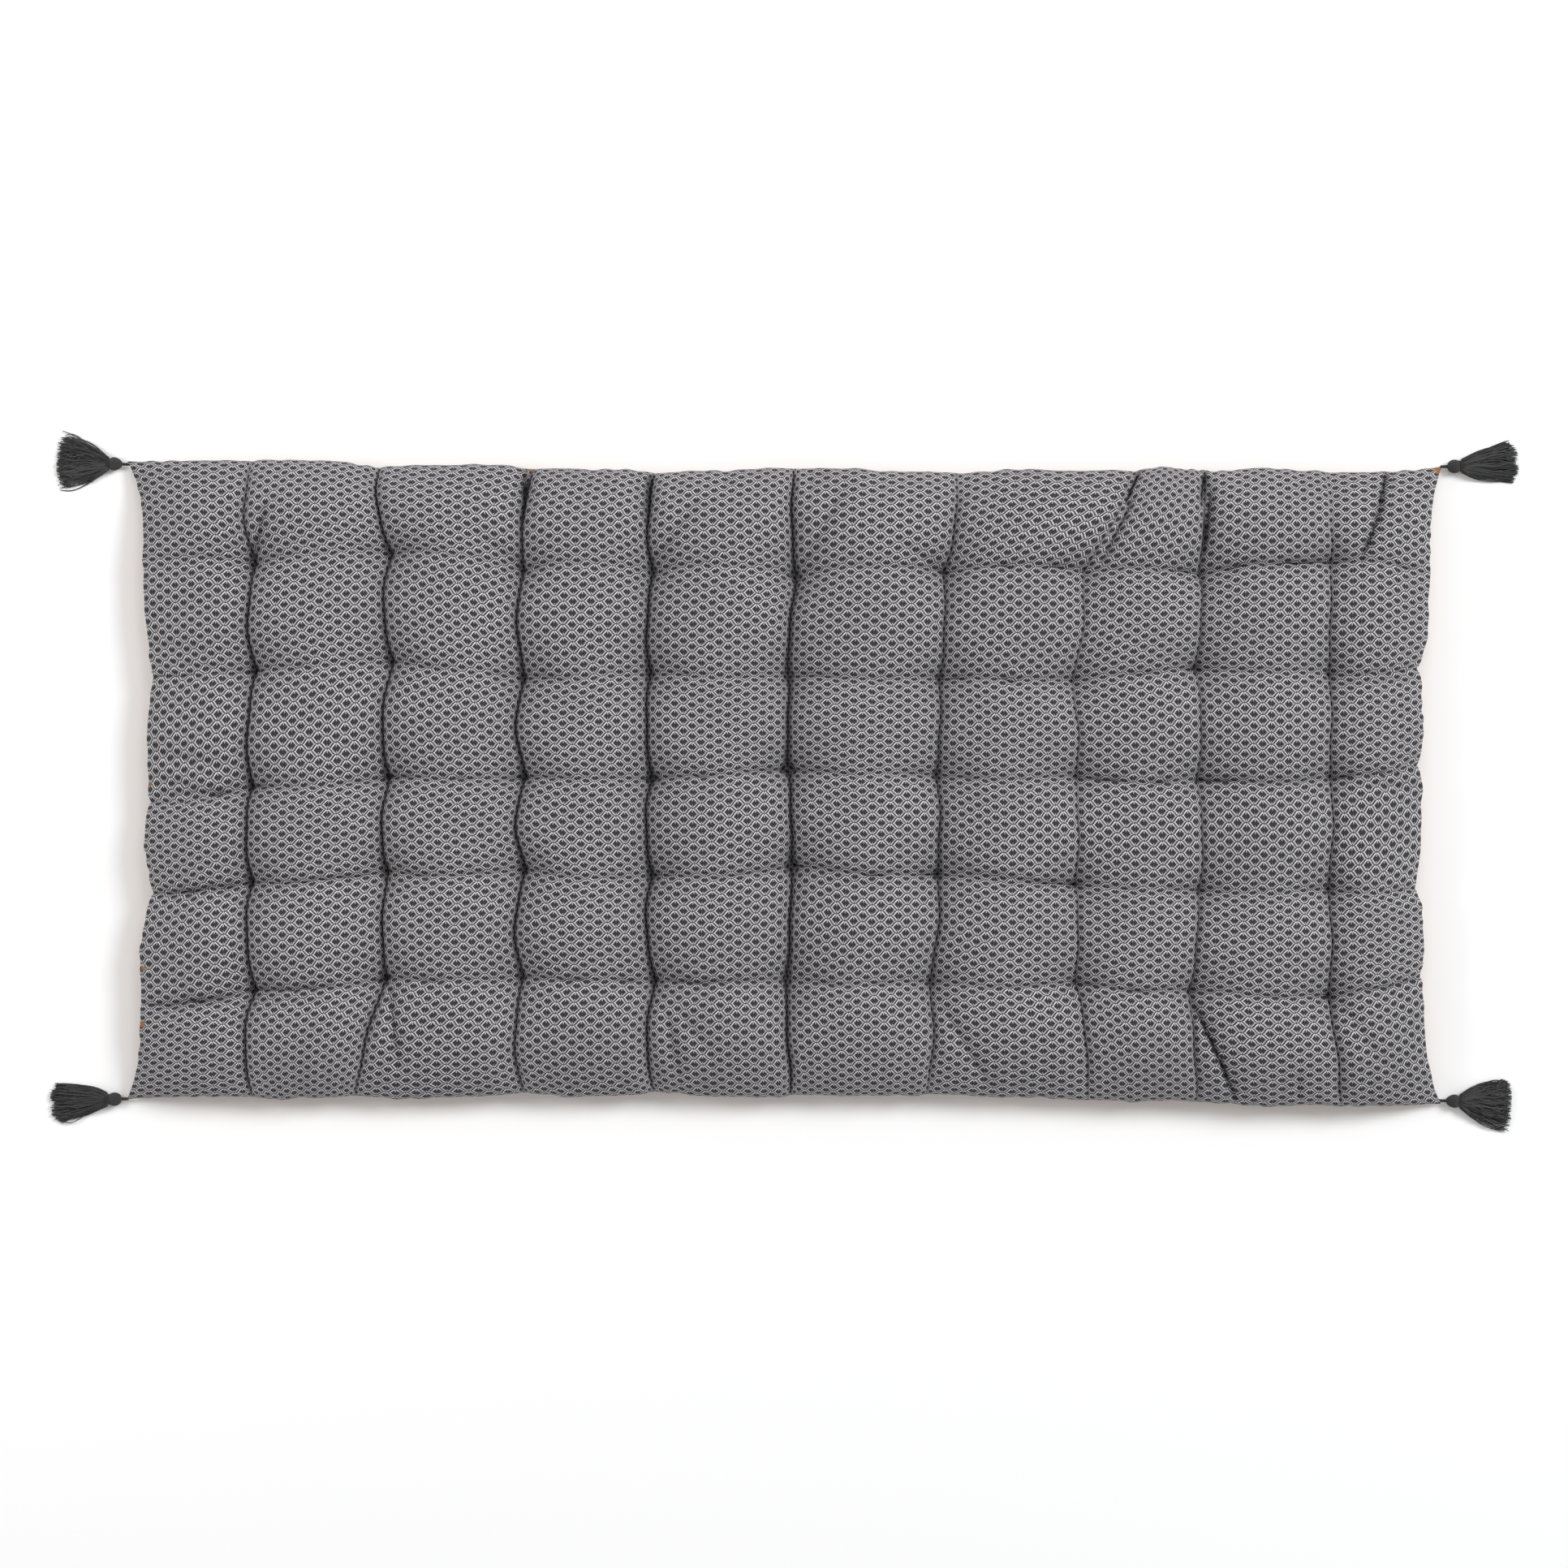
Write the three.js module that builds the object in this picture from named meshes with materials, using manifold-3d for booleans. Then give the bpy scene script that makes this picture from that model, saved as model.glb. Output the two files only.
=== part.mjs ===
// A tufted floor mattress with a yarn tassel at each corner, lying face up on the floor.
// Millimetres. +X runs along its length, +Y across its width from foot to head, +Z up.
import * as THREE from "three";
import { mergeVertices } from "three/addons/utils/BufferGeometryUtils.js";
import Module from "manifold-3d";

const wasm = await Module();
wasm.setup();

// Driving dimensions of the mattress.
const LENGTH = 1212; // between the tips of the corners, along X
const WIDTH = 590; // between the tips of the corners, along Y
const CROWN = 66; // top of a puff above the floor
const CROWN_UNEVEN = 2; // how much higher or lower one puff is than the next
const SEAM_HEIGHT = 25; // knife-edge seam above the floor, along the sides
const TIP_HEIGHT = 6.5; // the same seam at a drawn-out corner
const EAR = 95; // how far from its tip a corner reaches full seam height
const SHOULDER = 0.78; // share of an outer puff over which it rounds up from the seam
const CREASE_SHARPNESS = 2.3; // power of a puff's section: higher is flatter on top and steeper at its folds
const TUFT_SHARE = 0.8; // share of a lengthwise fold's depth that adds to a crosswise one where they meet
const BACK_FOLD = 4; // hollow under a fold, on the back
const BACK_TUFT = 11; // hollow under a tuft, on the back

// Grid stations within one puff, from fold to fold: close together beside the folds.
const STATIONS = [0, 0.08, 0.26, 0.5, 0.74, 0.92];

// Folds that run across the width, from the left seam to the right seam, evenly spaced but for their strays.
// strays: offset along X at the head seam, at tuft rows 1 to 5 and at the foot seam.
// bow: how far the line swings out along X between two tufts. depth: below the crown, between tufts.
const CROSSWISE = [
  { strays: [1, 14, 22, 17, 19, 10, -1], bow: -3, depth: 0 },
  { strays: [-9, -6, -5, -8, -8, -6, -9], bow: -5, depth: 24 },
  { strays: [-12, -1, 0, -3, -3, -3, -33], bow: -5, depth: 24 },
  { strays: [11, 2, 2, 2, 2, 0, 1], bow: -7, depth: 25 },
  { strays: [0, -1, -3, -2, -3, 0, -1], bow: -5, depth: 28 },
  { strays: [7, 9, 3, 4, 8, 2, 5], bow: -1, depth: 28 },
  { strays: [39, 26, 21, 18, 20, 13, 10], bow: 3, depth: 20 },
  { strays: [79, 33, 22, 25, 24, 25, 39], bow: 3, depth: 16 },
  { strays: [24, 19, 16, 18, 19, 9, 16], bow: 1, depth: 17 },
  { strays: [69, 18, 17, 19, 18, 18, 29], bow: 0, depth: 17 },
  { strays: [0, -11, -22, -22, -24, -19, 0], bow: 3, depth: 0 },
];

// Folds that run along the length, from the head seam to the foot seam, set down in the same way.
// strays: offset along Y at the left seam, at crosswise folds 1 to 9 and at the right seam.
const LENGTHWISE = [
  { strays: [1, 3, -2, -4, -9, -5, -9, -6, -6, -8, -4], bow: 2, depth: 0 },
  { strays: [9, 4, 15, 0, -1, -5, -2, -3, -6, 6, -3], bow: 5, depth: 13 },
  { strays: [0, 6, 15, -2, 2, 0, -2, -3, 8, 2, 6], bow: -2, depth: 11 },
  { strays: [-19, -5, 5, 6, 5, 14, 7, 5, 2, 5, 17], bow: -3, depth: 12 },
  { strays: [-3, 7, 17, 18, 12, 22, 15, 6, 0, 0, 0], bow: -4, depth: 12 },
  { strays: [-9, 4, 16, 18, 15, 15, 12, 12, 5, 0, 18], bow: -2, depth: 12 },
  { strays: [1, 5, 5, 7, 8, 6, 8, 3, 1, -4, -3], bow: -2, depth: 0 },
];

// Driving dimensions of a tassel, along its own axis from the tip of the corner.
const GAP = 0.3; // clearance between one sewn or wound piece and the next
const CORD_LENGTH = 6;
const CORD_RADIUS = 1.7;
const HEAD_RADIUS = 6;
const HEAD_STRETCH = 1.12; // length of the head over its width
const NECK_RADIUS = 3.6;
const WRAP_WIDTH = 4.4;
const WRAP_THICKNESS = 1.1;
const WRAP_TURNS = 3;
const SKIRT_LENGTH = 50;
const SKIRT_SPREAD = 25; // degrees each side of the axis
const LOCKS_PER_LAYER = 10;
const LOCK_WIDTH = 1.5;
const LOCK_HEIGHT = 1.1;
const SKIRT_LAYERS = [
  { rest: 0, root: -2, reach: 1, spread: 1 },
  { rest: 1.4, root: 0, reach: 0.95, spread: 0.93 },
  { rest: 2.8, root: 2, reach: 0.9, spread: 0.84 },
];

// The four tassels. side and end: the corner's place along X and along Y. turn: degrees from straight outwards.
// ragged: how uneven its locks are in length, as a share.
const TASSELS = [
  { name: "head_left", side: -1, end: 1, turn: 1, ragged: 0.12 },
  { name: "head_right", side: 1, end: 1, turn: 4, ragged: 0.05 },
  { name: "foot_left", side: -1, end: -1, turn: 4, ragged: 0.05 },
  { name: "foot_right", side: 1, end: -1, turn: 1, ragged: 0.12 },
];

const CLOTH = { color: 0x747275, roughness: 0.92, metalness: 0 };
const YARN = { color: 0x373738, roughness: 0.85, metalness: 0 };

const COLUMNS = CROSSWISE.length - 1;
const ROWS = LENGTHWISE.length - 1;
const PER_PUFF = STATIONS.length;

// A named mesh with its own material.
function piece(name, geometry, look) {
  const mesh = new THREE.Mesh(geometry, new THREE.MeshStandardMaterial(look));
  mesh.name = name;
  return mesh;
}

// A repeatable value from -1 to 1 for a pair of counts, for what is uneven by hand.
function uneven(i, j) {
  const wave = Math.sin(i * 12.9898 + j * 78.233) * 43758.5453;
  return 2 * (wave - Math.floor(wave)) - 1;
}

// The puff that a grid coordinate falls in, and the share of the way across it.
function puffAt(at, count) {
  const index = Math.min(Math.floor(at + 1e-9), count - 1);
  return { index, share: at - index };
}

// Stray of one fold line at a grid coordinate along it: straight from tuft to tuft with the line's bow between.
// A seam line has no bow beside a corner, where it eases out to the corner's tip.
function strayOf(line, along, isSeam) {
  const last = line.strays.length - 1;
  const { index, share } = puffAt(along, last);
  const inEar = isSeam && (index === 0 || index === last - 1);
  if (!inEar) {
    const bowed = line.bow * Math.sin(Math.PI * share);
    return THREE.MathUtils.lerp(line.strays[index], line.strays[index + 1], share) + bowed;
  }
  const fromTip = index === 0 ? share : 1 - share;
  const eased = 1 - (1 - fromTip) ** 3;
  const tip = line.strays[index === 0 ? 0 : last];
  const inner = line.strays[index === 0 ? 1 : last - 1];
  return THREE.MathUtils.lerp(tip, inner, eased);
}

// Place of a grid point on the floor plan: a counts puffs from the left seam, b from the head seam.
function planAt(a, b) {
  const column = puffAt(a, COLUMNS);
  const row = puffAt(b, ROWS);
  const lineX = (i) => (i / COLUMNS - 0.5) * LENGTH + strayOf(CROSSWISE[i], b, i === 0 || i === COLUMNS);
  const lineY = (j) => (0.5 - j / ROWS) * WIDTH + strayOf(LENGTHWISE[j], a, j === 0 || j === ROWS);
  return {
    x: THREE.MathUtils.lerp(lineX(column.index), lineX(column.index + 1), column.share),
    y: THREE.MathUtils.lerp(lineY(row.index), lineY(row.index + 1), row.share),
  };
}

// How far a puff has sunk at a share of the way across it: 1 at its folds, 0 on top, like the section of a bolster.
function sunk(share) {
  const fromMiddle = Math.abs(2 * share - 1);
  return 1 - Math.sqrt(1 - fromMiddle ** CREASE_SHARPNESS);
}

// Rise of an outer puff from the seam, 0 to 1, at a distance from the seam counted in puffs.
function rise(fromSeam, reach, power) {
  const left = 1 - Math.min(1, fromSeam / reach);
  return (1 - left * left) ** power;
}

// Height of the seam over a point of the plan: low at the corners' tips, and level along the sides.
function seamHeight(x, y) {
  const toTip = Math.hypot(LENGTH / 2 - Math.abs(x), WIDTH / 2 - Math.abs(y));
  const share = Math.min(1, toTip / EAR);
  return TIP_HEIGHT + (SEAM_HEIGHT - TIP_HEIGHT) * Math.sin((share * Math.PI) / 2);
}

// Height of the front of the mattress at a grid point.
function frontHeight(a, b, x, y) {
  const column = puffAt(a, COLUMNS);
  const row = puffAt(b, ROWS);
  const foldX = CROSSWISE[column.index + (column.share > 0.5 ? 1 : 0)];
  const foldY = LENGTHWISE[row.index + (row.share > 0.5 ? 1 : 0)];
  const sunkX = sunk(column.share);
  const sunkY = sunk(row.share);
  const puffTop = CROWN + CROWN_UNEVEN * uneven(column.index, row.index) * (1 - sunkX) * (1 - sunkY);
  const lengthwiseDepth = foldY.depth * sunkY * (1 - (1 - TUFT_SHARE) * sunkX);
  const inner = puffTop - foldX.depth * sunkX - lengthwiseDepth;
  const riseX = rise(Math.min(a, COLUMNS - a), SHOULDER, 0.62);
  const riseY = rise(Math.min(b, ROWS - b), SHOULDER, 0.62);
  const seam = seamHeight(x, y);
  return seam + (inner - seam) * riseX * riseY;
}

// Height of the back of the mattress: flat on the floor under each puff, hollow under its folds and tufts.
function backHeight(a, b, x, y) {
  const flatShare = STATIONS[2];
  const hollow = (share) => Math.max(0, 1 - Math.min(share, 1 - share) / flatShare);
  const hollowX = hollow(puffAt(a, COLUMNS).share);
  const hollowY = hollow(puffAt(b, ROWS).share);
  const fold = BACK_FOLD * Math.max(hollowX, hollowY);
  const tuft = (BACK_TUFT - BACK_FOLD) * hollowX * hollowY;
  const risen = rise(Math.min(a, COLUMNS - a), flatShare, 1) * rise(Math.min(b, ROWS - b), flatShare, 1);
  return THREE.MathUtils.lerp(seamHeight(x, y), fold + tuft, risen);
}

// Grid coordinate of a grid line.
function lineAt(index) {
  const puff = Math.floor(index / PER_PUFF);
  return puff + STATIONS[index % PER_PUFF];
}

// The filled body: a front and a back that meet at the seam. The back has every second grid line of the front.
function mattressGeometry() {
  const across = COLUMNS * PER_PUFF;
  const down = ROWS * PER_PUFF;
  const points = [];
  const faces = [];
  const front = new Map();
  const back = new Map();
  const onSeam = (i, j) => i === 0 || j === 0 || i === across || j === down;
  const key = (i, j) => j * (across + 1) + i;
  const add = (x, y, z) => points.push(new THREE.Vector3(x, y, z)) - 1;

  for (let j = 0; j <= down; j += 1) {
    for (let i = 0; i <= across; i += 1) {
      const a = lineAt(i);
      const b = lineAt(j);
      const { x, y } = planAt(a, b);
      const top = add(x, y, frontHeight(a, b, x, y));
      front.set(key(i, j), top);
      if (onSeam(i, j)) back.set(key(i, j), top);
      else if (i % 2 === 0 && j % 2 === 0) back.set(key(i, j), add(x, y, backHeight(a, b, x, y)));
    }
  }

  for (let j = 0; j < down; j += 1) {
    for (let i = 0; i < across; i += 1) {
      const headLeft = front.get(key(i, j));
      const footLeft = front.get(key(i, j + 1));
      const footRight = front.get(key(i + 1, j + 1));
      const headRight = front.get(key(i + 1, j));
      const falling = points[headLeft].distanceTo(points[footRight]);
      const rising = points[footLeft].distanceTo(points[headRight]);
      if (falling < rising) {
        faces.push(headLeft, footLeft, footRight, headLeft, footRight, headRight);
      } else {
        faces.push(footLeft, footRight, headRight, footLeft, headRight, headLeft);
      }
    }
  }

  // Each patch of the back is a fan from a point inside the seam, round the grid points on its outline.
  for (let j = 0; j < down; j += 2) {
    for (let i = 0; i < across; i += 2) {
      const outline = [
        [i, j],
        [i + 1, j],
        [i + 2, j],
        [i + 2, j + 1],
        [i + 2, j + 2],
        [i + 1, j + 2],
        [i, j + 2],
        [i, j + 1],
      ].filter(([p, q]) => back.has(key(p, q)));
      const start = outline.findIndex(([p, q]) => !onSeam(p, q));
      const fan = outline.map((_, n) => outline[(start + n) % outline.length]);
      const ids = fan.map(([p, q]) => back.get(key(p, q)));
      for (let n = 1; n + 1 < ids.length; n += 1) faces.push(ids[0], ids[n], ids[n + 1]);
    }
  }

  const geometry = new THREE.BufferGeometry().setFromPoints(points);
  geometry.setIndex(faces);
  geometry.computeVertexNormals();
  return geometry;
}

// A geometry as a solid, for joining.
function solidOf(geometry) {
  const bare = new THREE.BufferGeometry();
  bare.setAttribute("position", geometry.getAttribute("position"));
  bare.setIndex(geometry.getIndex());
  const merged = mergeVertices(bare, 1e-4);
  const mesh = new wasm.Mesh({
    numProp: 3,
    vertProperties: merged.getAttribute("position").array,
    triVerts: new Uint32Array(merged.getIndex().array),
  });
  return new wasm.Manifold(mesh);
}

// A joined solid as a geometry.
function geometryOf(solid) {
  const { vertProperties, triVerts } = solid.getMesh();
  const geometry = new THREE.BufferGeometry();
  geometry.setAttribute("position", new THREE.BufferAttribute(vertProperties, 3));
  geometry.setIndex(new THREE.BufferAttribute(triVerts, 1));
  geometry.computeVertexNormals();
  return geometry;
}

// A body of revolution about the tassel's axis, which lies along X at the head's height above the floor.
// profile: pairs of distance along the axis and radius, from the corner outwards.
function turned(profile, sides) {
  const outline = profile.map(([along, radius]) => new THREE.Vector2(radius, along));
  const geometry = new THREE.LatheGeometry(outline, sides);
  return geometry.rotateZ(-Math.PI / 2).translate(0, 0, HEAD_RADIUS);
}

const CORD_END = GAP + CORD_LENGTH;
const HEAD_START = CORD_END + GAP;
const HEAD_LENGTH = 2 * HEAD_RADIUS * HEAD_STRETCH;
const WRAP_START = HEAD_START + HEAD_LENGTH * 0.9 + GAP;
const WRAP_END = WRAP_START + WRAP_WIDTH;
const NECK_END = WRAP_END + 2;

// One lock of yarn: a tapering three-sided strand with a flat underside, down from the neck to its rest.
function lockGeometry(layer, slot, ragged, seed) {
  const middle = (LOCKS_PER_LAYER - 1) / 2;
  const share = (slot - middle) / middle;
  const bend = uneven(seed, slot + 3) * 0.02;
  const angle = THREE.MathUtils.degToRad(share * SKIRT_SPREAD * layer.spread) + bend;
  const length = SKIRT_LENGTH * layer.reach * (1 - ragged * (0.5 + 0.5 * uneven(seed + 7, slot)));
  const rootY = share * (NECK_RADIUS - 1) * Math.sqrt(1 - (layer.root / NECK_RADIUS) ** 2);
  const rootX = NECK_END - 1.2;
  const rootZ = HEAD_RADIUS + layer.root;
  const sections = [
    { along: 0, z: rootZ, width: 0.55 },
    { along: 0.16, z: rootZ * 0.55 + layer.rest * 0.45, width: 0.7 },
    { along: 0.42, z: layer.rest, width: 0.9 },
    { along: 1, z: layer.rest, width: 1 },
  ];
  const positions = [];
  for (const { along, z, width } of sections) {
    const x = rootX + along * length * Math.cos(angle);
    const y = rootY + along * length * Math.sin(angle);
    const half = (LOCK_WIDTH * width) / 2;
    positions.push(x + half * Math.sin(angle), y - half * Math.cos(angle), z);
    positions.push(x - half * Math.sin(angle), y + half * Math.cos(angle), z);
    positions.push(x, y, z + LOCK_HEIGHT * width);
  }
  const faces = [0, 2, 1];
  for (let n = 0; n + 1 < sections.length; n += 1) {
    for (let k = 0; k < 3; k += 1) {
      const here = n * 3 + k;
      const next = n * 3 + ((k + 1) % 3);
      faces.push(here, next, next + 3, here, next + 3, here + 3);
    }
  }
  const end = (sections.length - 1) * 3;
  faces.push(end, end + 1, end + 2);
  const geometry = new THREE.BufferGeometry();
  geometry.setAttribute("position", new THREE.Float32BufferAttribute(positions, 3));
  geometry.setIndex(faces);
  return geometry;
}

// The wound head and neck with the skirt's locks fused into the neck.
function tasselGeometry(ragged, seed) {
  const profile = [];
  const rings = 8;
  for (let n = 0; n <= rings; n += 1) {
    const turn = (Math.PI * n) / rings;
    const along = HEAD_START + (HEAD_LENGTH / 2) * (1 - Math.cos(turn));
    const radius = HEAD_RADIUS * Math.sin(turn);
    if (along < WRAP_START - GAP) profile.push([along, Math.max(0, radius)]);
  }
  profile.push([WRAP_START - GAP, NECK_RADIUS], [NECK_END, NECK_RADIUS], [NECK_END + 0.4, 0]);
  const parts = [solidOf(turned(profile, 14))];
  SKIRT_LAYERS.forEach((layer, level) => {
    for (let slot = 0; slot < LOCKS_PER_LAYER; slot += 1) {
      parts.push(solidOf(lockGeometry(layer, slot, ragged, seed + level * 5)));
    }
  });
  return geometryOf(wasm.Manifold.union(parts));
}

// The band of thread wound round the neck, a ridge for each turn.
function wrapGeometry() {
  const inside = NECK_RADIUS + GAP;
  const profile = [[WRAP_START, inside]];
  for (let n = 0; n < WRAP_TURNS; n += 1) {
    const from = WRAP_START + (WRAP_WIDTH * n) / WRAP_TURNS;
    const step = WRAP_WIDTH / WRAP_TURNS;
    profile.push([from + 0.1 * step, inside + 0.6 * WRAP_THICKNESS]);
    profile.push([from + 0.5 * step, inside + WRAP_THICKNESS]);
    profile.push([from + 0.9 * step, inside + 0.6 * WRAP_THICKNESS]);
  }
  profile.push([WRAP_END, inside], [WRAP_START, inside]);
  return turned(profile, 16);
}

// The short cord that holds the tassel to the corner, rounded at both ends.
function cordGeometry() {
  const round = CORD_RADIUS * 0.5;
  const profile = [
    [GAP, 0],
    [GAP, CORD_RADIUS * 0.6],
    [GAP + round, CORD_RADIUS],
    [CORD_END - round, CORD_RADIUS],
    [CORD_END, CORD_RADIUS * 0.6],
    [CORD_END, 0],
  ];
  return turned(profile, 10);
}

const mattress = piece("mattress", mattressGeometry(), CLOTH);
const body = new THREE.Group();
body.add(mattress);

TASSELS.forEach(({ name, side, end, turn, ragged }, index) => {
  const tip = planAt(side < 0 ? 0 : COLUMNS, end > 0 ? 0 : ROWS);
  const tassel = new THREE.Group();
  tassel.add(piece(`cord_${name}`, cordGeometry(), YARN));
  tassel.add(piece(`tassel_${name}`, tasselGeometry(ragged, 11 + 17 * index), YARN));
  tassel.add(piece(`wrap_${name}`, wrapGeometry(), YARN));
  const outwards = side < 0 ? Math.PI : 0;
  tassel.rotation.z = outwards + side * end * THREE.MathUtils.degToRad(turn);
  tassel.position.set(tip.x, tip.y, 0);
  body.add(tassel);
});

// The origin is on the floor, under the middle of everything.
const extent = new THREE.Box3().setFromObject(body, true);
const middle = extent.getCenter(new THREE.Vector3());
body.position.set(-middle.x, -middle.y, -extent.min.z);

const part = new THREE.Group();
part.add(body);

export default part;
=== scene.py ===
import bpy
import numpy as np
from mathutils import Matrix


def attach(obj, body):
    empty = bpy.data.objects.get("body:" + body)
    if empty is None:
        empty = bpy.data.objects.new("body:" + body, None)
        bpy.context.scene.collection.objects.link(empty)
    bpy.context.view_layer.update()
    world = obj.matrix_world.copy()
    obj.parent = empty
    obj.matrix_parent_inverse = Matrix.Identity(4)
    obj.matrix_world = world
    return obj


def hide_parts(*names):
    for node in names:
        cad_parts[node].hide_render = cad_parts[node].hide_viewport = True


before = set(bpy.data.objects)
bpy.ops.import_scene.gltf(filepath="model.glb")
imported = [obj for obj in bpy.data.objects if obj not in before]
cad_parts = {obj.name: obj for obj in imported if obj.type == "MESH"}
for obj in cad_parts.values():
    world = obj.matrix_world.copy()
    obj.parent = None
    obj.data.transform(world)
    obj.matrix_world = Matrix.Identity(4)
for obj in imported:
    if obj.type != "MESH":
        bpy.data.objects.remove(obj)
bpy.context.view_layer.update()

# The camera hangs straight above the mattress with a long lens, as for a catalogue picture.
# The picture is square, and the mattress's length lies across it.
PICTURE_WIDTH = 1.449  # metres across the picture, at the level of the seam
SEAM_LEVEL = 0.030
CAMERA_DISTANCE = 4.0

camera_data = bpy.data.cameras.new("camera")
camera_data.sensor_width = 36.0
camera_data.lens = camera_data.sensor_width * CAMERA_DISTANCE / PICTURE_WIDTH
camera = bpy.data.objects.new("camera", camera_data)
camera.location = (0.0, 0.0, SEAM_LEVEL + CAMERA_DISTANCE)
bpy.context.collection.objects.link(camera)
scene = bpy.context.scene
scene.camera = camera
scene.view_settings.view_transform = "Standard"


# The studio: a pale floor, a broad cool light to the right of the head end, two small warmer ones close to
# the left side and to the head end, and an even white room around them.
FLOOR_SIDE = 8.0
FLOOR_COLOUR = (0.92, 0.92, 0.92, 1.0)
ROOM_STRENGTH = 0.55

LIGHTS = [
    # name, place, size, power, colour
    ("key", (4.2, 2.4, 4.4), 2.6, 265.0, (0.97, 0.985, 1.0)),
    ("left", (-1.8, 0.4, 1.5), 0.8, 13.5, (1.0, 0.98, 0.96)),
    ("head", (0.2, 1.4, 2.4), 0.8, 7.5, (1.0, 0.98, 0.97)),
]


class Wire:
    """A value on its way through a material. Arithmetic on it adds Math nodes, and node() any other."""

    def __init__(self, tree, socket=None):
        self.tree = tree
        self.socket = socket

    def node(self, kind, settings=None, sockets=None, out=0):
        """A node of a kind: its settings first, then a value or a wire for each named socket."""
        made = self.tree.nodes.new(kind)
        for name, value in (settings or {}).items():
            setattr(made, name, value)
        for name, value in (sockets or {}).items():
            if isinstance(value, Wire):
                self.tree.links.new(value.socket, made.inputs[name])
            else:
                made.inputs[name].default_value = value
        return Wire(self.tree, made.outputs[out] if made.outputs else None)

    def maths(self, operation, *others, clamp=False):
        """A Math node's result on this value and others."""
        values = dict(enumerate((self, *others)))
        return self.node("ShaderNodeMath", {"operation": operation, "use_clamp": clamp}, values)

    def __add__(self, other):
        return self.maths("ADD", other)

    def __sub__(self, other):
        return self.maths("SUBTRACT", other)

    def __mul__(self, other):
        return self.maths("MULTIPLY", other)

    def __truediv__(self, other):
        return self.maths("DIVIDE", other)

    def __rsub__(self, other):
        return (self * -1.0) + other

    __radd__ = __add__
    __rmul__ = __mul__

    def step(self, low, high):
        """0 below low, 1 above high and eased between them; low above high turns it round."""
        sockets = {"Value": self, "From Min": low, "From Max": high}
        return self.node("ShaderNodeMapRange", {"interpolation_type": "SMOOTHSTEP"}, sockets)

    def blend(self, first, second):
        """A colour mixed from first to second by this value."""
        values = {0: self, 6: first, 7: second}
        return self.node("ShaderNodeMix", {"data_type": "RGBA"}, values, out=2)

    def clamped(self):
        """This value, kept between 0 and 1."""
        return self.maths("MULTIPLY", 1.0, clamp=True)

    def flat_map(self, name):
        """A UV map, and its two coordinates on wires of their own."""
        both = self.node("ShaderNodeUVMap", {"uv_map": name})
        first = self.node("ShaderNodeSeparateXYZ", None, {0: both})
        return both, first, Wire(self.tree, first.socket.node.outputs[1])

    def into(self, shader, name):
        """Feeds this value to a named socket of a shader."""
        self.tree.links.new(self.socket, shader.inputs[name])


def finish_of(name, roughness, sheen=0.0):
    """A new material with its shader: the wire to start from, and the shader node."""
    material = bpy.data.materials.new(name)
    material.use_nodes = True
    shader = material.node_tree.nodes["Principled BSDF"]
    shader.inputs["Roughness"].default_value = roughness
    shader.inputs["Specular IOR Level"].default_value = 0.25
    shader.inputs["Sheen Weight"].default_value = sheen
    shader.inputs["Sheen Roughness"].default_value = 0.5
    return material, Wire(material.node_tree), shader


floor_mesh = bpy.data.meshes.new("floor")
half = FLOOR_SIDE / 2
floor_corners = [(-half, -half, 0), (half, -half, 0), (half, half, 0), (-half, half, 0)]
floor_mesh.from_pydata(floor_corners, [], [(0, 1, 2, 3)])
floor = bpy.data.objects.new("floor", floor_mesh)
bpy.context.collection.objects.link(floor)
floor_paint, _, shader = finish_of("floor_paint", 0.7)
shader.inputs["Base Color"].default_value = FLOOR_COLOUR
floor_mesh.materials.append(floor_paint)

for name, place, size, power, colour in LIGHTS:
    light = bpy.data.lights.new(name, "AREA")
    light.shape = "DISK"
    light.size = size
    light.energy = power
    light.color = colour
    lamp = bpy.data.objects.new(name, light)
    lamp.location = place
    toward = -np.array(place)
    lamp.rotation_euler = (
        np.arctan2(np.hypot(toward[0], toward[1]), -toward[2]),
        0.0,
        np.arctan2(-toward[0], toward[1]),
    )
    bpy.context.collection.objects.link(lamp)

room = bpy.data.worlds.new("room")
room.use_nodes = True
glow = room.node_tree.nodes["Background"].inputs
glow["Color"].default_value = (1.0, 1.0, 1.0, 1.0)
glow["Strength"].default_value = ROOM_STRENGTH
scene.world = room


# The mattress: two cuts of cloth sewn face to face with a knife-edge seam, turned, filled and drawn down
# along nine folds across it and five along it. The front is a woven lattice, the back a plain ochre cotton.
# The shape is first worked out from the folds, then the cloth is let settle over its filling.
MM = 0.001
LENGTH = 1212 * MM  # between the tips of the corners
WIDTH = 590 * MM
MIDDLE = np.array([0.93, 1.15]) * MM  # of the corners' tips, from the frame's origin
CROWN = 66 * MM
CROWN_UNEVEN = 2 * MM
SIDE_THIN = 11 * MM  # how much lower the crown is towards the left and right seams
SEAM_HEIGHT = 25 * MM
SIDE_SEAM_RISE = 6 * MM  # how much higher the left and right seams lie
TIP_HEIGHT = 6.5 * MM
EAR = 95 * MM  # how far from its tip a corner reaches full seam height
SHOULDER = 0.8  # share of an outer puff over which it rounds up from the head or foot seam
SIDE_SHOULDER = 0.9  # and from a side one
SEAM_FREE = 9 * MM  # how far from a seam a short crease reaches its full depth
LINE_REACH = 3.5 * MM  # how far from a crosswise fold its narrow crease fades
CREASE_REACH = 9 * MM  # the same for a lengthwise fold's soft crease, and for its narrow one
FINE_REACH = 2.6 * MM
PUFF_ROUND = 4 * MM  # how much lower than its top a puff is at its lengthwise folds, without their creases
TUFT_DEPTH = 14 * MM
TUFT_REACH = 22 * MM
SLIT_DEPTH = 8.0  # millimetres of narrow crease that close a fold to a slit, over which its painted shade grows to full
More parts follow.
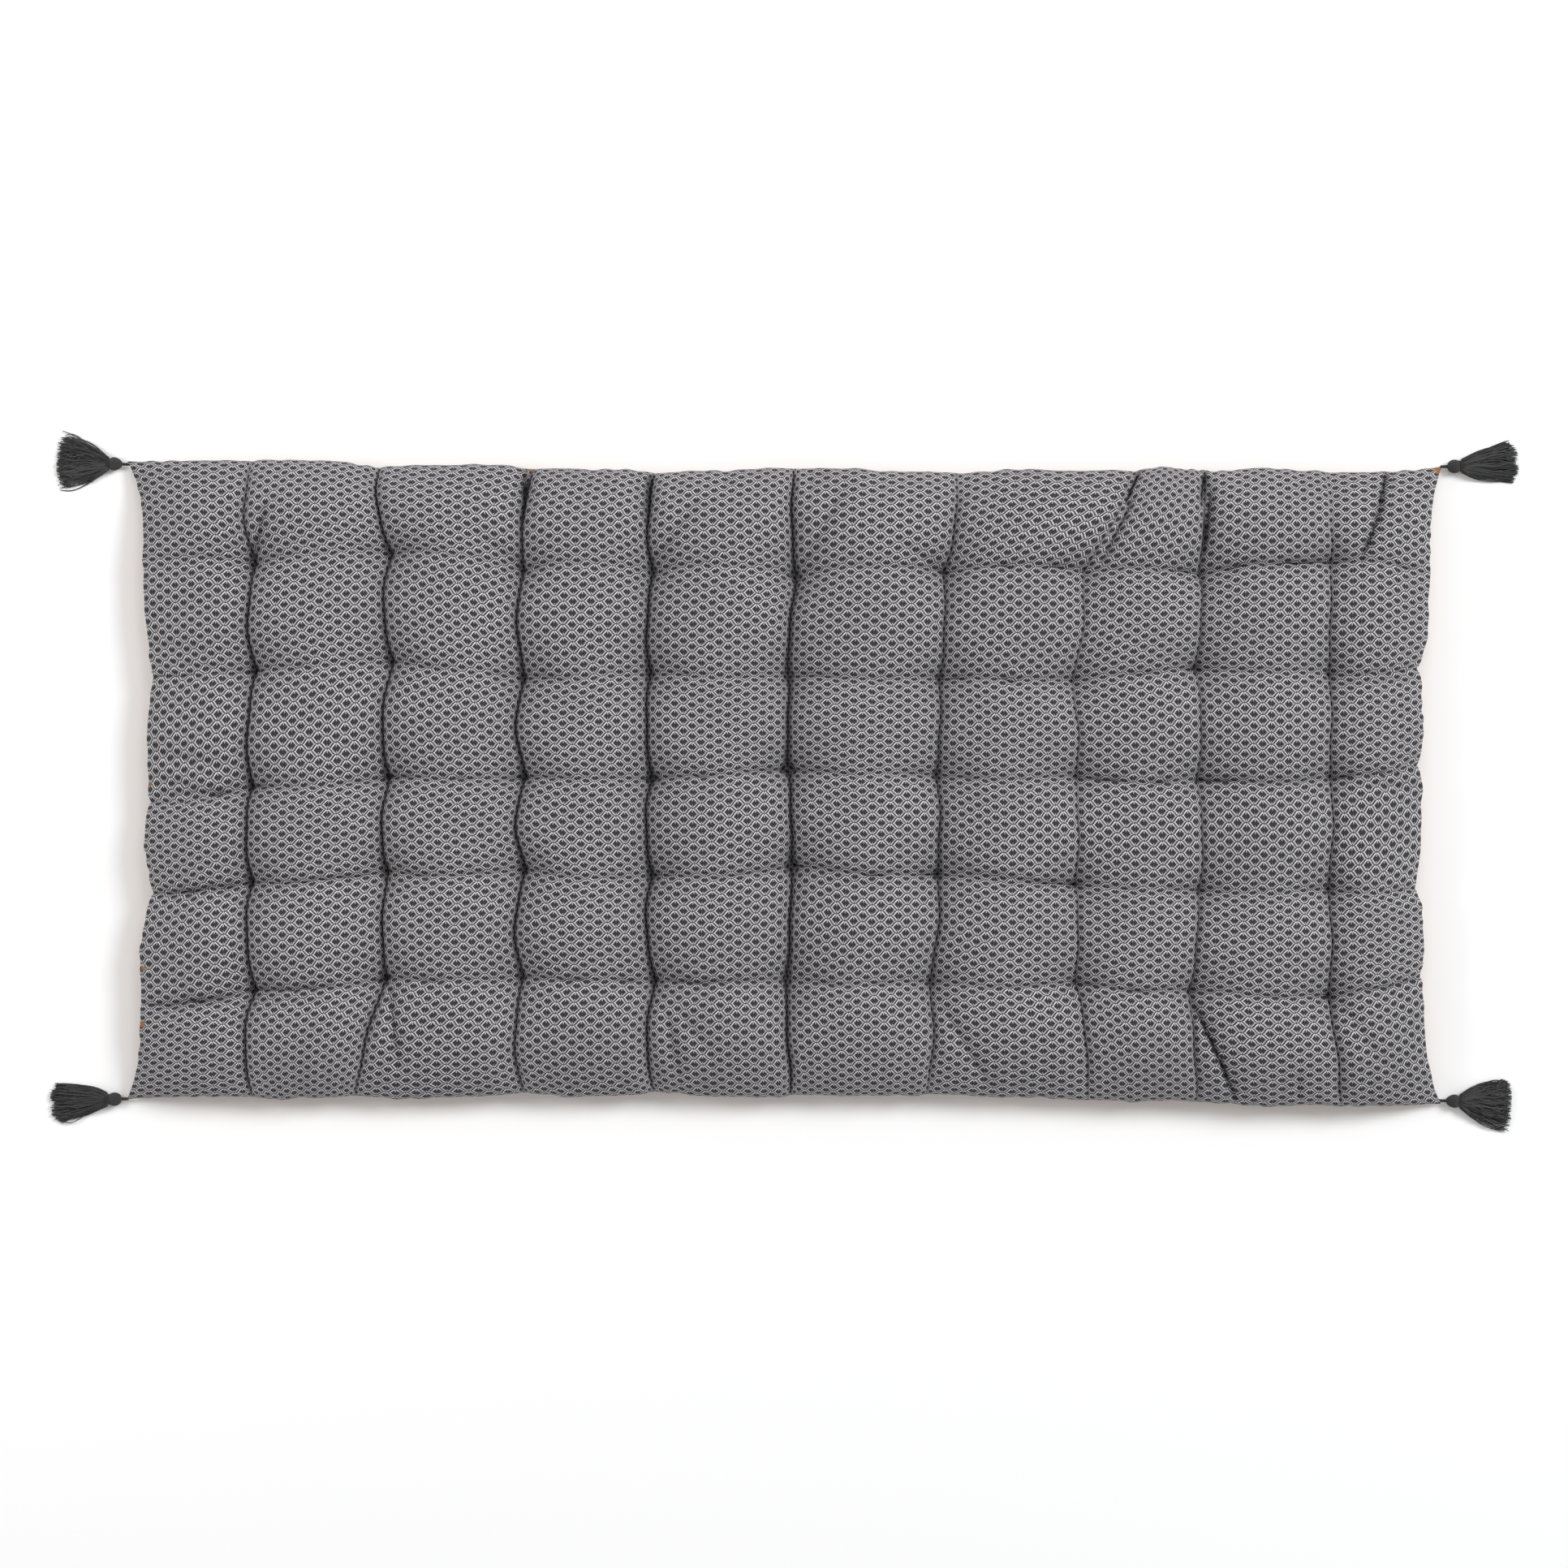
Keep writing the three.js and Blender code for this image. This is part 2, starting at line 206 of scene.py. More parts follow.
SLIT_LEAST = 5.0  # depth of a short crease before it starts to close and take painted shade, and half width of its painted slit shade
SLIT_REACH = 2.4 * MM
WANDER = [(0.9, 5.3, 1.0), (0.6, 12.1, 2.3)]  # a fold's slow wander: millimetres, beat and phase of each wave
WRINKLE = 0.9 * MM  # a lengthwise crease's quick wander
NOTCH_REACH = 0.07  # share of a puff over which a seam is drawn in at a notch
GATHER = 1.3 * MM  # height of the gathers beside the head and foot seams
GATHER_REACH = 13 * MM
GATHER_LENGTH = 16.5 * MM
BACK_FOLD = 4 * MM
BACK_TUFT = 11 * MM
LEAST_FILLING = 4 * MM  # left between the two cloths at a tuft
BACK_FLAT = 0.26  # share of a puff beside a fold before its back is flat on the floor
LINES_ACROSS = 38  # cloth lines to a puff, along the length and across the width
LINES_DOWN = 34

# Each fold across the width, from the left seam to the right seam: millimetres that it strays along X at
# the head seam, tuft rows 1 to 5 and the foot seam, then its bow between tufts, the power of the rolls'
# section beside it, and its depth and that of the narrow crease along it in each of the six rows of puffs.
CROSSWISE = [
    ([-5, 13, 22, 17, 19, 10, -5.5], -3, 2.2, [0] * 6, [0] * 6),
    ([-9, -6, -5, -8, -8, -6, -9], -5, 2.3, [10, 16, 16, 16, 16, 14], [4, 8, 8, 8, 8, 7]),
    ([-12, -1, 0, -3, -3, -3, -33], -5, 2.3, [16, 17, 17, 17, 17, 13], [8, 7, 8, 8, 8, 6]),
    ([11, 2, 2, 2, 2, 0, 1], -7, 2.1, [18, 20, 20, 20, 20, 16], [7, 8, 8, 8, 8, 6]),
    ([0, -1, -3, -2, -3, 0, -1], -5, 2.0, [22, 25, 25, 25, 25, 20], [8, 8, 8, 8, 9, 7]),
    ([7, 9, 3, 4, 8, 2, 5], -1, 2.0, [24, 27, 27, 27, 27, 24], [9, 9, 10, 9, 9, 8]),
    ([39, 26, 21, 18, 20, 13, 10], 3, 2.0, [17, 20, 20, 20, 20, 16], [4, 3, 4, 5, 5, 4]),
    ([79, 33, 22, 25, 24, 25, 39], 3, 2.0, [8, 9, 9, 8, 9, 11], [2, 1, 2, 2, 3, 4]),
    ([24, 19, 16, 18, 19, 9, 16], 1, 2.0, [12, 12, 10, 10, 11, 12], [6, 2, 2, 2, 4, 5]),
    ([17, 18, 17, 19, 18, 18, 29], 0, 2.0, [4, 11, 11, 12, 13, 12], [0, 3, 2, 2, 4, 4]),
    ([4.5, -10, -19, -19, -22, -16, 3.5], 3, 2.2, [0] * 6, [0] * 6),
]
# Each fold along the length, from the head seam to the foot seam, in the same way: its strays along Y are
# at the left seam, folds 1 to 9 and the right seam. Then come its bow, its depth at the tufts, and the
# share of that depth that is left midway across each of the ten puffs.
LENGTHWISE = [
    ([3.5, 3, -2, -4, -9, -5, -9, -6, -6, -8, -1], 2, 0, [0] * 10),
    ([9, 4, 15, 0, -1, -5, -2, -3, -6, 6, -3], 5, 8, [0.15, 0.05, 0.05, 0.05, 0.05, 0.1, 0.8, 0.8, 1.2, 0.7]),
    ([0, 6, 15, -2, 2, 0, -2, -3, 8, 2, 6], -2, 8, [0.6, 0.3, 0.25, 0.3, 0.2, 0.25, 0.7, 0.5, 0.25, 0.4]),
    ([-19, -5, 5, 6, 5, 14, 7, 5, 2, 5, 17], -3, 8, [0.8, 0.4, 0.5, 0.5, 0.45, 0.15, 0.25, 0.8, 1.1, 0.8]),
    ([-3, 7, 17, 18, 12, 22, 15, 6, 0, 0, 0], -4, 8, [0.8, 0.6, 0.45, 0.2, 0.35, 0.8, 0.7, 0.25, 0.3, 0.3]),
    ([-9, 4, 16, 18, 15, 15, 12, 12, 5, 0, 18], -2, 8, [0.9, 0.7, 0.45, 0.6, 0.6, 0.3, 0.3, 0.6, 0.4, 0.5]),
    ([1, 5, 5, 7, 8, 6, 8, 3, 1, -4, -3], -2, 0, [0] * 10),
]
# How far the left and the right seam are drawn in at tuft rows 1 to 5.
NOTCHES = {0: [0, 2.5, 4.5, 4, 1], 10: [0, -4.5, -4.5, -3, -3]}
# Short creases beside the folds, in millimetres about the middle: from, to, depth and half width.
CREASES = [
    ((-478, 256), (-492, 197), 10, 5),
    ((-395, 218), (-369, 199), 5, 6),
    ((-290, 233), (-245, 199), 5, 6),
    ((-239, 290), (-241, 240), 13, 4),
    ((-124, 290), (-130, 242), 10, 4),
    ((-81, 258), (-118, 206), 7, 5),
    ((56, 274), (18, 201), 7, 6),
    ((108, 218), (142, 197), 5, 6),
    ((328, 288), (314, 257), 13, 3),
    ((324, 266), (292, 203), 10, 5),
    ((389, 290), (383, 257), 13, 3),
    ((393, 268), (386, 213), 11, 4),
    ((558, 290), (545, 250), 14, 3),
    ((551, 262), (531, 206), 13, 5),
    ((-372, -188), (-399, -258), 5, 7),
    ((-362, -190), (-356, -258), 9, 4),
    ((-102, -206), (-68, -250), 5, 6),
    ((-108, -210), (-98, -268), 7, 5),
    ((145, -205), (190, -280), 7, 6),
    ((378, -206), (416, -290), 13, 4),
    ((512, -205), (548, -258), 5, 7),
    ((505, 92), (588, 97), 6, 4),
    ((510, 3), (586, -5), 6, 4),
    ((-592, 30), (-516, 15), 6, 4),
    ((-598, 195), (-520, 207), 4, 9),
    ((-594, 150), (-530, 168), 4, 8),
    ((-594, 128), (-520, 116), 4, 8),
    ((-564, 110), (-515, 105), 5, 2.6),
    ((-583, 2), (-545, -3), 5, 2.6),
    ((-575, -10), (-511, -10), 6, 2.6),
    ((-583, -105), (-496, -92), 6, 2.6),
    ((-586, -210), (-508, -199), 7, 2.6),
    ((-493, -200), (-421, -200), 6, 2.6),
    ((6, -82), (100, -94), 6, 2.6),
    ((160, -82), (250, -94), 5, 2.6),
]


# Small pleats where the head and foot seams' stitches draw the cloth in, at uneven places along both.
PLEATS = 36
seeded = np.random.default_rng(5)
for end in (1, -1):
    for x in np.linspace(-580, 580, PLEATS) + seeded.uniform(-15, 15, PLEATS):
        long, deep, lean = seeded.uniform(0, 1, 3) ** 2 * [38, 4.5, 9]
        CREASES.append(((x, 291 * end), (x + lean - 3, (280 - long) * end), 1.5 + deep, 3.2))


def line_places(steps, puffs):
    """Grid coordinate of each cloth line, counted in puffs: three quarters an even share of a puff and one
    quarter a cosine-eased one, so that the lines are a little closer beside the folds."""
    share = np.arange(steps) / steps
    eased = 0.75 * share + 0.25 * (0.5 - 0.5 * np.cos(np.pi * share))
    return np.append((np.arange(puffs)[:, None] + eased).ravel(), puffs)


def fold_stray(fold, along, is_seam, notches, phase):
    """Stray of a fold at grid coordinates along it: straight from tuft to tuft, plus half a sine of its
    bow between tufts and a slow wander. A seam instead eases out to its tip, as a cubic, beside a corner,
    is scalloped by its stitches as a quick sine, and is drawn in at its notches."""
    strays, bow = np.array(fold[0], float), fold[1]
    last = len(strays) - 1
    share = along - np.clip(np.floor(along), 0, last - 1)
    stray = np.interp(along, np.arange(last + 1), strays) + bow * np.sin(np.pi * share)
    stray += sum(size * np.sin(beat * along + lag * phase) for size, beat, lag in WANDER)
    if is_seam:
        head = strays[0] + (strays[1] - strays[0]) * (1 - (1 - np.clip(along, 0, 1)) ** 3)
        foot = strays[-1] + (strays[-2] - strays[-1]) * (1 - (1 - np.clip(last - along, 0, 1)) ** 3)
        stray = np.where(along < 1, head, np.where(along > last - 1, foot, stray))
        inside = np.clip(4 * np.minimum(along, last - along), 0, 1)
        uneven = 0.4 + 0.35 * np.sin(7.3 * along + 2 * phase)
        stray += inside * uneven * np.sin(31 * along + 3 * np.sin(3.1 * along + phase))
    for row, notch in enumerate(notches):
        stray += notch * np.exp(-np.abs(along - row - 1) / NOTCH_REACH)
    return stray * MM


def wrinkle(along, row):
    """Quick uneven wander of a lengthwise crease, whose cloth isn't stitched down between the tufts: two
    sines of different beats, faded in and out along it, and none at the seams."""
    wave = np.sin(29 * along + 3.7 * row + 2.5 * np.sin(4.1 * along)) + 0.6 * np.sin(53 * along + 1.9 * row)
    return WRINKLE * wave * np.sin(np.pi * along) ** 2 * (0 < row < len(LENGTHWISE) - 1)


def patchy(along, row):
    """Share of a lengthwise fold's narrow crease that shows along it: the upper half of an uneven wave."""
    return 0.3 + np.maximum(0.0, np.sin(9.7 * along + 2.9 * row + 2.2 * np.sin(3.7 * along + row)))


def sunk(share, power):
    """How far a puff has sunk at a share across it: 1 at its folds and 0 on top, as one minus the root
    of one minus the power of the distance from its middle."""
    return 1 - np.sqrt(np.maximum(0.0, 1 - np.abs(2 * share - 1) ** power))


def risen(from_seam, reach, power):
    """Rise from the seam, 0 to 1, at a distance from it in puffs: a rounded shoulder, then level."""
    left = 1 - np.minimum(1.0, from_seam / reach)
    return (1 - left**2) ** power


def crease_depth(x, y):
    """Depth of all the short creases at a place: each falls off exponentially from its line, and tapers
    to nothing at both its ends. Also how far the deep ones close to a slit, as the strength of the painted
    shade in it, a bell curve about the line."""
    depth, slit_shade_share = np.zeros_like(x), np.zeros_like(x)
    for (x0, y0), (x1, y1), deep, wide in CREASES:
        dx, dy = (x1 - x0) * MM, (y1 - y0) * MM
        along = ((x - x0 * MM) * dx + (y - y0 * MM) * dy) / (dx * dx + dy * dy)
        held = np.clip(along, 0, 1)
        away = np.hypot(x - x0 * MM - held * dx, y - y0 * MM - held * dy)
        taper = np.clip(np.minimum(held + 0.25, 1.25 - held) / 0.5, 0, 1)
        depth = np.maximum(depth, deep * MM * np.exp(-away / (wide * MM)) * taper)
        painted_slit_shade = np.clip((deep - SLIT_LEAST) / SLIT_DEPTH, 0, 1) * np.exp(-((away / SLIT_REACH) ** 2))
        slit_shade_share = np.maximum(slit_shade_share, painted_slit_shade * taper)
    return depth, slit_shade_share


def gathers(along, from_seam):
    """Height of the small gathers that the seam's stitches draw up: an uneven wave along the seam, which
    grows from nothing at the seam and fades again towards the middle of the puff."""
    uneven = 2.6 * np.sin(along / 0.031) + 1.9 * np.sin(along / 0.0127)
    wave = np.sin(2 * np.pi * along / GATHER_LENGTH + uneven)
    strong = 0.55 + 0.45 * np.sin(along / 0.047 + 1.3) * np.sin(along / 0.021)
    near = from_seam / GATHER_REACH
    return GATHER * wave * strong * near * np.exp(1 - near)


columns = len(CROSSWISE) - 1
rows = len(LENGTHWISE) - 1
across = line_places(LINES_ACROSS, columns)
down = line_places(LINES_DOWN, rows)
column = np.minimum(np.floor(across), columns - 1).astype(int)[None, :]
row = np.minimum(np.floor(down), rows - 1).astype(int)[:, None]
share_x = across[None, :] - column
share_y = down[:, None] - row

line_x = np.array(
    [
        (i / columns - 0.5) * LENGTH + fold_stray(f, down, i in (0, columns), NOTCHES.get(i, []), 1.7 * i)
        for i, f in enumerate(CROSSWISE)
    ]
)
line_y = np.array(
    [
        (0.5 - j / rows) * WIDTH + fold_stray(f, across, j in (0, rows), [], 2.9 * j) + wrinkle(across, j)
        for j, f in enumerate(LENGTHWISE)
    ]
)
down_index = np.arange(len(down))[:, None]
across_index = np.arange(len(across))[None, :]
left_wall = line_x[column, down_index]
right_wall = line_x[column + 1, down_index]
head_wall = line_y[row, across_index]
foot_wall = line_y[row + 1, across_index]
plan_x = left_wall * (1 - share_x) + right_wall * share_x
plan_y = head_wall * (1 - share_y) + foot_wall * share_y

from_side = np.minimum(across, columns - across)[None, :]
from_end = np.minimum(down, rows - down)[:, None]
to_tip = np.hypot(LENGTH / 2 - np.abs(plan_x), WIDTH / 2 - np.abs(plan_y))
edge_height = SEAM_HEIGHT + SIDE_SEAM_RISE * np.exp(-from_side)
seam = TIP_HEIGHT + (edge_height - TIP_HEIGHT) * np.sin(np.minimum(1.0, to_tip / EAR) * np.pi / 2)

fold_x = column + (share_x > 0.5)
fold_y = row + (share_y > 0.5)
is_fold_x = (fold_x > 0) & (fold_x < columns)
is_fold_y = (fold_y > 0) & (fold_y < rows)
near_x = np.minimum(share_x, 1 - share_x) * LENGTH / columns
near_y = np.minimum(share_y, 1 - share_y) * WIDTH / rows
power_x = np.array([f[2] for f in CROSSWISE])[fold_x]
depth_x, crease_x = (
    np.array([np.interp(down - 0.5, np.arange(rows), f[k]) for f in CROSSWISE])[fold_x[0]].T for k in (3, 4)
)
rounder = 0.5 * np.exp(-near_y / TUFT_REACH)
sunk_x = depth_x * MM * sunk(share_x, power_x - rounder) + crease_x * MM * np.exp(-near_x / LINE_REACH)
depth_y = np.array([f[2] for f in LENGTHWISE])[fold_y] * MM
midway = np.array([f[3] for f in LENGTHWISE])[fold_y, column]
strength = midway + (1 - midway) * np.exp(-near_x / TUFT_REACH)
fine_y = 0.6 * patchy(across[None, :], fold_y) * np.exp(-near_y / FINE_REACH)
crease_y = depth_y * strength * (0.5 * np.exp(-near_y / CREASE_REACH) + fine_y)
sunk_y = PUFF_ROUND * (0.4 + 0.6 * strength) * np.abs(2 * share_y - 1) ** 2.6 * is_fold_y + crease_y
tuft = np.exp(-((np.hypot(near_x, near_y) / TUFT_REACH) ** 1.2)) * (is_fold_x & is_fold_y)
random = np.random.default_rng(7)
puff_top = random.uniform(-1, 1, (rows, columns))[row, column] * CROWN_UNEVEN
puff_top = puff_top * np.sin(np.pi * share_x) ** 2 * np.sin(np.pi * share_y) ** 2
crown = CROWN - SIDE_THIN * np.exp(-((from_side / 1.1) ** 2))
inner = crown + puff_top - sunk_x - sunk_y - TUFT_DEPTH * tuft
lift = risen(from_side, SIDE_SHOULDER, 0.95) * risen(from_end, SHOULDER, 0.8)
from_seam = np.minimum(from_side * LENGTH / columns, from_end * WIDTH / rows)
short_depth, short_slit_shade = crease_depth(plan_x, plan_y)
front_height = seam + (inner - seam) * lift - short_depth * np.minimum(1.0, from_seam / SEAM_FREE)
end_gathers = gathers(plan_x, from_end * WIDTH / rows)
front_height += end_gathers + 0.5 * gathers(plan_y, from_side * LENGTH / columns)
front_shape = np.stack([plan_x, plan_y, front_height], axis=-1)

hollow_x = np.maximum(0.0, 1 - np.minimum(share_x, 1 - share_x) / BACK_FLAT) + 0 * share_y
hollow_y = np.maximum(0.0, 1 - np.minimum(share_y, 1 - share_y) / BACK_FLAT) + 0 * share_x
hollow = BACK_FOLD * np.maximum(hollow_x, hollow_y) ** 1.5 + (BACK_TUFT - BACK_FOLD) * hollow_x * hollow_y
back_lift = risen(from_side, BACK_FLAT, 0.9) * risen(from_end, BACK_FLAT, 0.9)
back_shape = np.stack([plan_x, plan_y, seam * (1 - back_lift) + hollow * back_lift], axis=-1)


FRONT_PRESS = 0.03 * MM  # how far the filling pushes the cloth out in each round
FRONT_ROUNDS = 90
BACK_PRESS = 0.05 * MM
BACK_ROUNDS = 12
UNEVEN_START = 0.4 * MM  # small unevenness that lets slack cloth choose its wrinkles
THREAD_PULL = (0.9, 0.25)  # share of its stretch, and of its squeeze, that a thread makes good in a round
SLANT_PULL = (0.3, 0.1)  # the same across the threads
SMOOTHING = 0.12
DRAWN_BACK = 0.5  # share of a fully held point's change that is undone in each round
SIDE_SPARE = 1.5 * MM  # how far a side puff may bulge over its folds
COVERED = 0.6  # share of the panel that its cloth covers without stretching
SLACK_X, SLACK_Y = 1.015, 1.01
SEAM_SLACK = 1.06
EASED = 0.7  # share of an outer puff over which the cloth is eased in to the seam
FOLD_HOLD, CREASE_HOLD, SEAM_HOLD, SEAM_TUFT_HOLD = 0.55, 0.12, 0.5, 0.8
BACK_FOLD_HOLD, BACK_HOLD = 0.4, 0.05
ON_LINE = 1e-9


def spans(shape, axis):
    """Length of each cloth edge along one direction of the grid."""
    return np.linalg.norm(np.diff(shape, axis=axis), axis=-1)


def pull(first, second, rest, free_first, free_second, stretch, squeeze):
    """Moves the two ends of each cloth edge towards its own length: fully when it is stretched, and a
    little when it is squeezed, so that slack cloth buckles."""
    gap = second - first
    size = np.maximum(np.linalg.norm(gap, axis=-1), 1e-9)
    over = size - rest
    share = np.where(over > 0, stretch, squeeze) * over / size / np.maximum(free_first + free_second, 1e-6)
    move = gap * share[..., None]
    first += move * free_first[..., None]
    second -= move * free_second[..., None]


def settle(shape, length_x, length_y, hold, press, rounds, floor_level, out):
    """Lets a panel of cloth settle over its filling. Each round pushes it out along its own normal, pulls
    every edge and diagonal towards its cloth length, draws held points back to the shape, smooths the
    change, and keeps each puff between its folds and above the floor."""
    place = shape.copy()
    seeded = np.random.default_rng(11)
    place[..., 2] += seeded.normal(0, UNEVEN_START, place.shape[:2]) * (1 - hold)
    free = 1 - hold
    slant = np.hypot(length_x[:-1], length_y[:, :-1])
    spare = SIDE_SPARE * (from_side < 1)
    for _ in range(rounds):
        run_x = np.gradient(place, axis=1)
        run_y = np.gradient(place, axis=0)
        normal = np.cross(run_y, run_x) * out
        normal /= np.maximum(np.linalg.norm(normal, axis=-1, keepdims=True), 1e-9)
        place += normal * (press * free)[..., None]
        for first in (0, 1):
            a, b, edge = slice(first, -1, 2), slice(first + 1, None, 2), slice(first, None, 2)
            pull(place[:, a], place[:, b], length_x[:, edge], free[:, a], free[:, b], *THREAD_PULL)
            pull(place[a], place[b], length_y[edge], free[a], free[b], *THREAD_PULL)
            pull(place[a, :-1], place[b, 1:], slant[edge], free[a, :-1], free[b, 1:], *SLANT_PULL)
            pull(place[a, 1:], place[b, :-1], slant[edge], free[a, 1:], free[b, :-1], *SLANT_PULL)
        change = place - shape
        bend_x = change[:, :-2] + change[:, 2:] - 2 * change[:, 1:-1]
        change[:, 1:-1] += SMOOTHING * free[:, 1:-1, None] * bend_x
        bend_y = change[:-2] + change[2:] - 2 * change[1:-1]
        change[1:-1] += SMOOTHING * free[1:-1, :, None] * bend_y
        change *= (1 - DRAWN_BACK * hold)[..., None]
        place = shape + change
        place[..., 0] = np.clip(place[..., 0], left_wall - spare, right_wall + spare)
        place[..., 2] = np.maximum(place[..., 2], floor_level)
    return place


# Cloth lengths: what most of the panel needs to cover its puffs, eased in towards the seam.
needed_x = spans(front_shape, 1)
needed_y = spans(front_shape, 0)
cut_x = np.quantile(needed_x, COVERED, axis=0)[None, :] * SLACK_X
cut_y = np.quantile(needed_y, COVERED, axis=1)[:, None] * SLACK_Y
ease_end = risen(from_end, EASED, 1.0)
ease_side = risen(from_side, EASED, 1.0)
length_x = np.minimum(cut_x, needed_x * SEAM_SLACK) * (1 - ease_end) + cut_x * ease_end
length_y = np.minimum(cut_y, needed_y * SEAM_SLACK) * (1 - ease_side) + cut_y * ease_side
length_x = np.maximum(length_x, needed_x)
length_y = np.maximum(length_y, needed_y)

on_fold_x = (np.abs(across - np.round(across)) < ON_LINE)[None, :]
on_fold_y = (np.abs(down - np.round(down)) < ON_LINE)[:, None]
on_seam = (from_side < ON_LINE) | (from_end < ON_LINE)
hold = np.where(on_fold_x, FOLD_HOLD, 0.0) + np.where(on_fold_y, CREASE_HOLD, 0.0)
hold = np.where(on_fold_x & on_fold_y, 1.0, hold)
hold = np.where(on_seam, SEAM_HOLD, hold)
hold = np.where(on_seam & on_fold_x & on_fold_y, SEAM_TUFT_HOLD, hold)
hold = np.where((from_side < ON_LINE) & (from_end < ON_LINE), 1.0, hold)
clear = back_shape[..., 2] + LEAST_FILLING * np.minimum(1.0, from_seam / SEAM_FREE)
clear = np.where(on_seam, 0.5 * MM, clear)
front_shape[..., 2] = np.maximum(front_shape[..., 2], clear)
front = settle(front_shape, length_x, length_y, hold, FRONT_PRESS, FRONT_ROUNDS, clear, 1.0)

back_start = back_shape.copy()
back_start[on_seam] = front[on_seam]
back_hold = np.where(on_seam, 1.0, np.where(on_fold_x | on_fold_y, BACK_FOLD_HOLD, BACK_HOLD))
back_x, back_y = spans(back_start, 1), spans(back_start, 0)
back = settle(back_start, back_x, back_y, back_hold, BACK_PRESS, BACK_ROUNDS, 0.0, -1.0)

cloth_x = np.append(0.0, np.cumsum(cut_x))
cloth_y = np.append(0.0, np.cumsum(cut_y))
cloth = np.stack(np.broadcast_arrays(cloth_x[None, :], -cloth_y[:, None]), axis=-1)
cloth = cloth - [cloth_x[-1] / 2, -cloth_y[-1] / 2]

# The back is a coarser grid of every second cloth line. Its outer cells take in the seam points between.
front_id = np.arange(on_seam.size).reshape(on_seam.shape)
coarse = (np.arange(len(down)) % 2 == 0)[:, None] & (np.arange(len(across)) % 2 == 0)[None, :]
back_only = coarse & ~on_seam
back_id = front_id.copy()
back_id[back_only] = on_seam.size + np.arange(np.count_nonzero(back_only))
points = np.concatenate([front.reshape(-1, 3), back[back_only]])
points[:, :2] += MIDDLE
points_of_corner = {
    (side, end): front[0 if end > 0 else -1, 0 if side < 0 else -1, :2] + MIDDLE
    for side in (-1, 1)
    for end in (-1, 1)
}


def quads(ids, turned):
    """The four corners of every grid cell, counter-clockwise, or the other way round where turned."""
    corners = [ids[:-1, :-1], ids[1:, :-1], ids[1:, 1:], ids[:-1, 1:]]
    return np.stack(corners[::-1] if turned else corners, axis=-1)


def with_seam_points(cells, ids):
    """The faces of a grid of every second line: inner cells as they are, outer ones with the point of the
    full grid that lies halfway along each side that is on the seam."""
    outer = np.zeros(cells.shape[:2], bool)
    outer[[0, -1]] = outer[:, [0, -1]] = True
    made = cells[~outer].tolist()
    for j, i in np.argwhere(outer):
        edge_row, edge_column = 2 * j, 2 * i
        head = [ids[edge_row, edge_column + 1]] * (j == 0)
        foot = [ids[edge_row + 2, edge_column + 1]] * (j == len(cells) - 1)
        left = [ids[edge_row + 1, edge_column]] * (i == 0)
        right = [ids[edge_row + 1, edge_column + 2]] * (i == cells.shape[1] - 1)
        a, b, c, d = cells[j, i]
        made.append([int(n) for n in [a, *right, b, *foot, c, *left, d, *head]])
    return made


def mesh_piece(name, points, faces, materials, face_material=None):
    """A smooth mesh object of points and faces, standing at the origin."""
    mesh = bpy.data.meshes.new(name)
    mesh.from_pydata(np.asarray(points, float).tolist(), [], faces)
    for material in materials:
        mesh.materials.append(material)
    if face_material is not None:
        mesh.polygons.foreach_set("material_index", np.asarray(face_material, np.int32))
    mesh.polygons.foreach_set("use_smooth", np.ones(len(mesh.polygons), bool))
    mesh.update()
    made = bpy.data.objects.new(name, mesh)
    bpy.context.collection.objects.link(made)
    return made


def corner_points(made):
    """The point that each face corner of a piece stands on."""
    ids = np.empty(len(made.data.loops), np.int32)
    made.data.loops.foreach_get("vertex_index", ids)
    return ids


def add_map(made, name, corners):
    """Gives a piece a UV map, from a pair of coordinates for each face corner."""
    made.data.uv_layers.new(name=name).data.foreach_set("uv", corners.reshape(-1))


def add_value(made, name, values):
    """Gives a piece a number at each of its points, for its material to read."""
    kept = made.data.attributes.new(name, "FLOAT", "POINT")
    kept.data.foreach_set("value", values.astype(np.float32))


front_cells = quads(front_id, False)
front_faces = front_cells.reshape(-1, 4).tolist()
back_faces = with_seam_points(quads(back_id[::2, ::2], True), back_id)

# The lattice cloth: dark diamonds outlined by off-white strokes, with a narrow dark channel between the
# strokes of two diamonds, a dark knot where four points meet, and a short tick inside the top and bottom.
# It is charted thread by thread, in the cloth's own millimetres. A pair is where an edge starts and ends.
REPEAT_HALF_WIDTH = 8.28
REPEAT_HALF_HEIGHT = 5.175
THREAD = REPEAT_HALF_WIDTH / 16
STROKE_SLOPE = 0.912  # a stroke's run across for each millimetre that it rises
STROKE_INNER = 4.2  # a diamond's half width, inside its strokes and over them
STROKE_OUTER = 5.5
STROKE_EDGE = 0.1
STROKE_END_UP, STROKE_END_ASIDE = (0.5, 0.8), (0.3, 0.65)  # a stroke stops this far from the point
STROKE_TONE, STROKE_SLANT_TONE = 0.82, 0.035  # how light a stroke is, and the painted side shade that makes it lighter to the upper left and darker to the lower right
KNOT_HIGH, KNOT_WIDE, KNOT_EDGE = 0.75, 1.6, (1.15, 0.8)
TIP_HIGH, TIP_OUTER, TIP_INNER = (0.7, 0.35), (6.6, 4.8), (4.2, 4.5)  # the point at a diamond's side corner
TICK_WIDE, TICK_OUTER = (0.7, 0.4), (4.2, 3.7)
TOP_TICK, FOOT_TICK = (0.9, 2.2), (-1.6, -2.4)
TIP_TONE, TOP_TICK_TONE, FOOT_TICK_TONE = 0.75, 0.6, 0.4
POCKET_ASIDE, POCKET_UP = ((0.5, 0.8), (2.0, 1.5)), ((1.6, 2.0), (3.8, 3.4))  # painted shade in the hollows beside a tick
CHANNEL_SLANT = 1.5
FUZZ_SCALE, CLOUD_SCALE = 1100.0, 9.0
THREAD_SHADE = 0.3  # how much painted shade darkens a thread at its edges
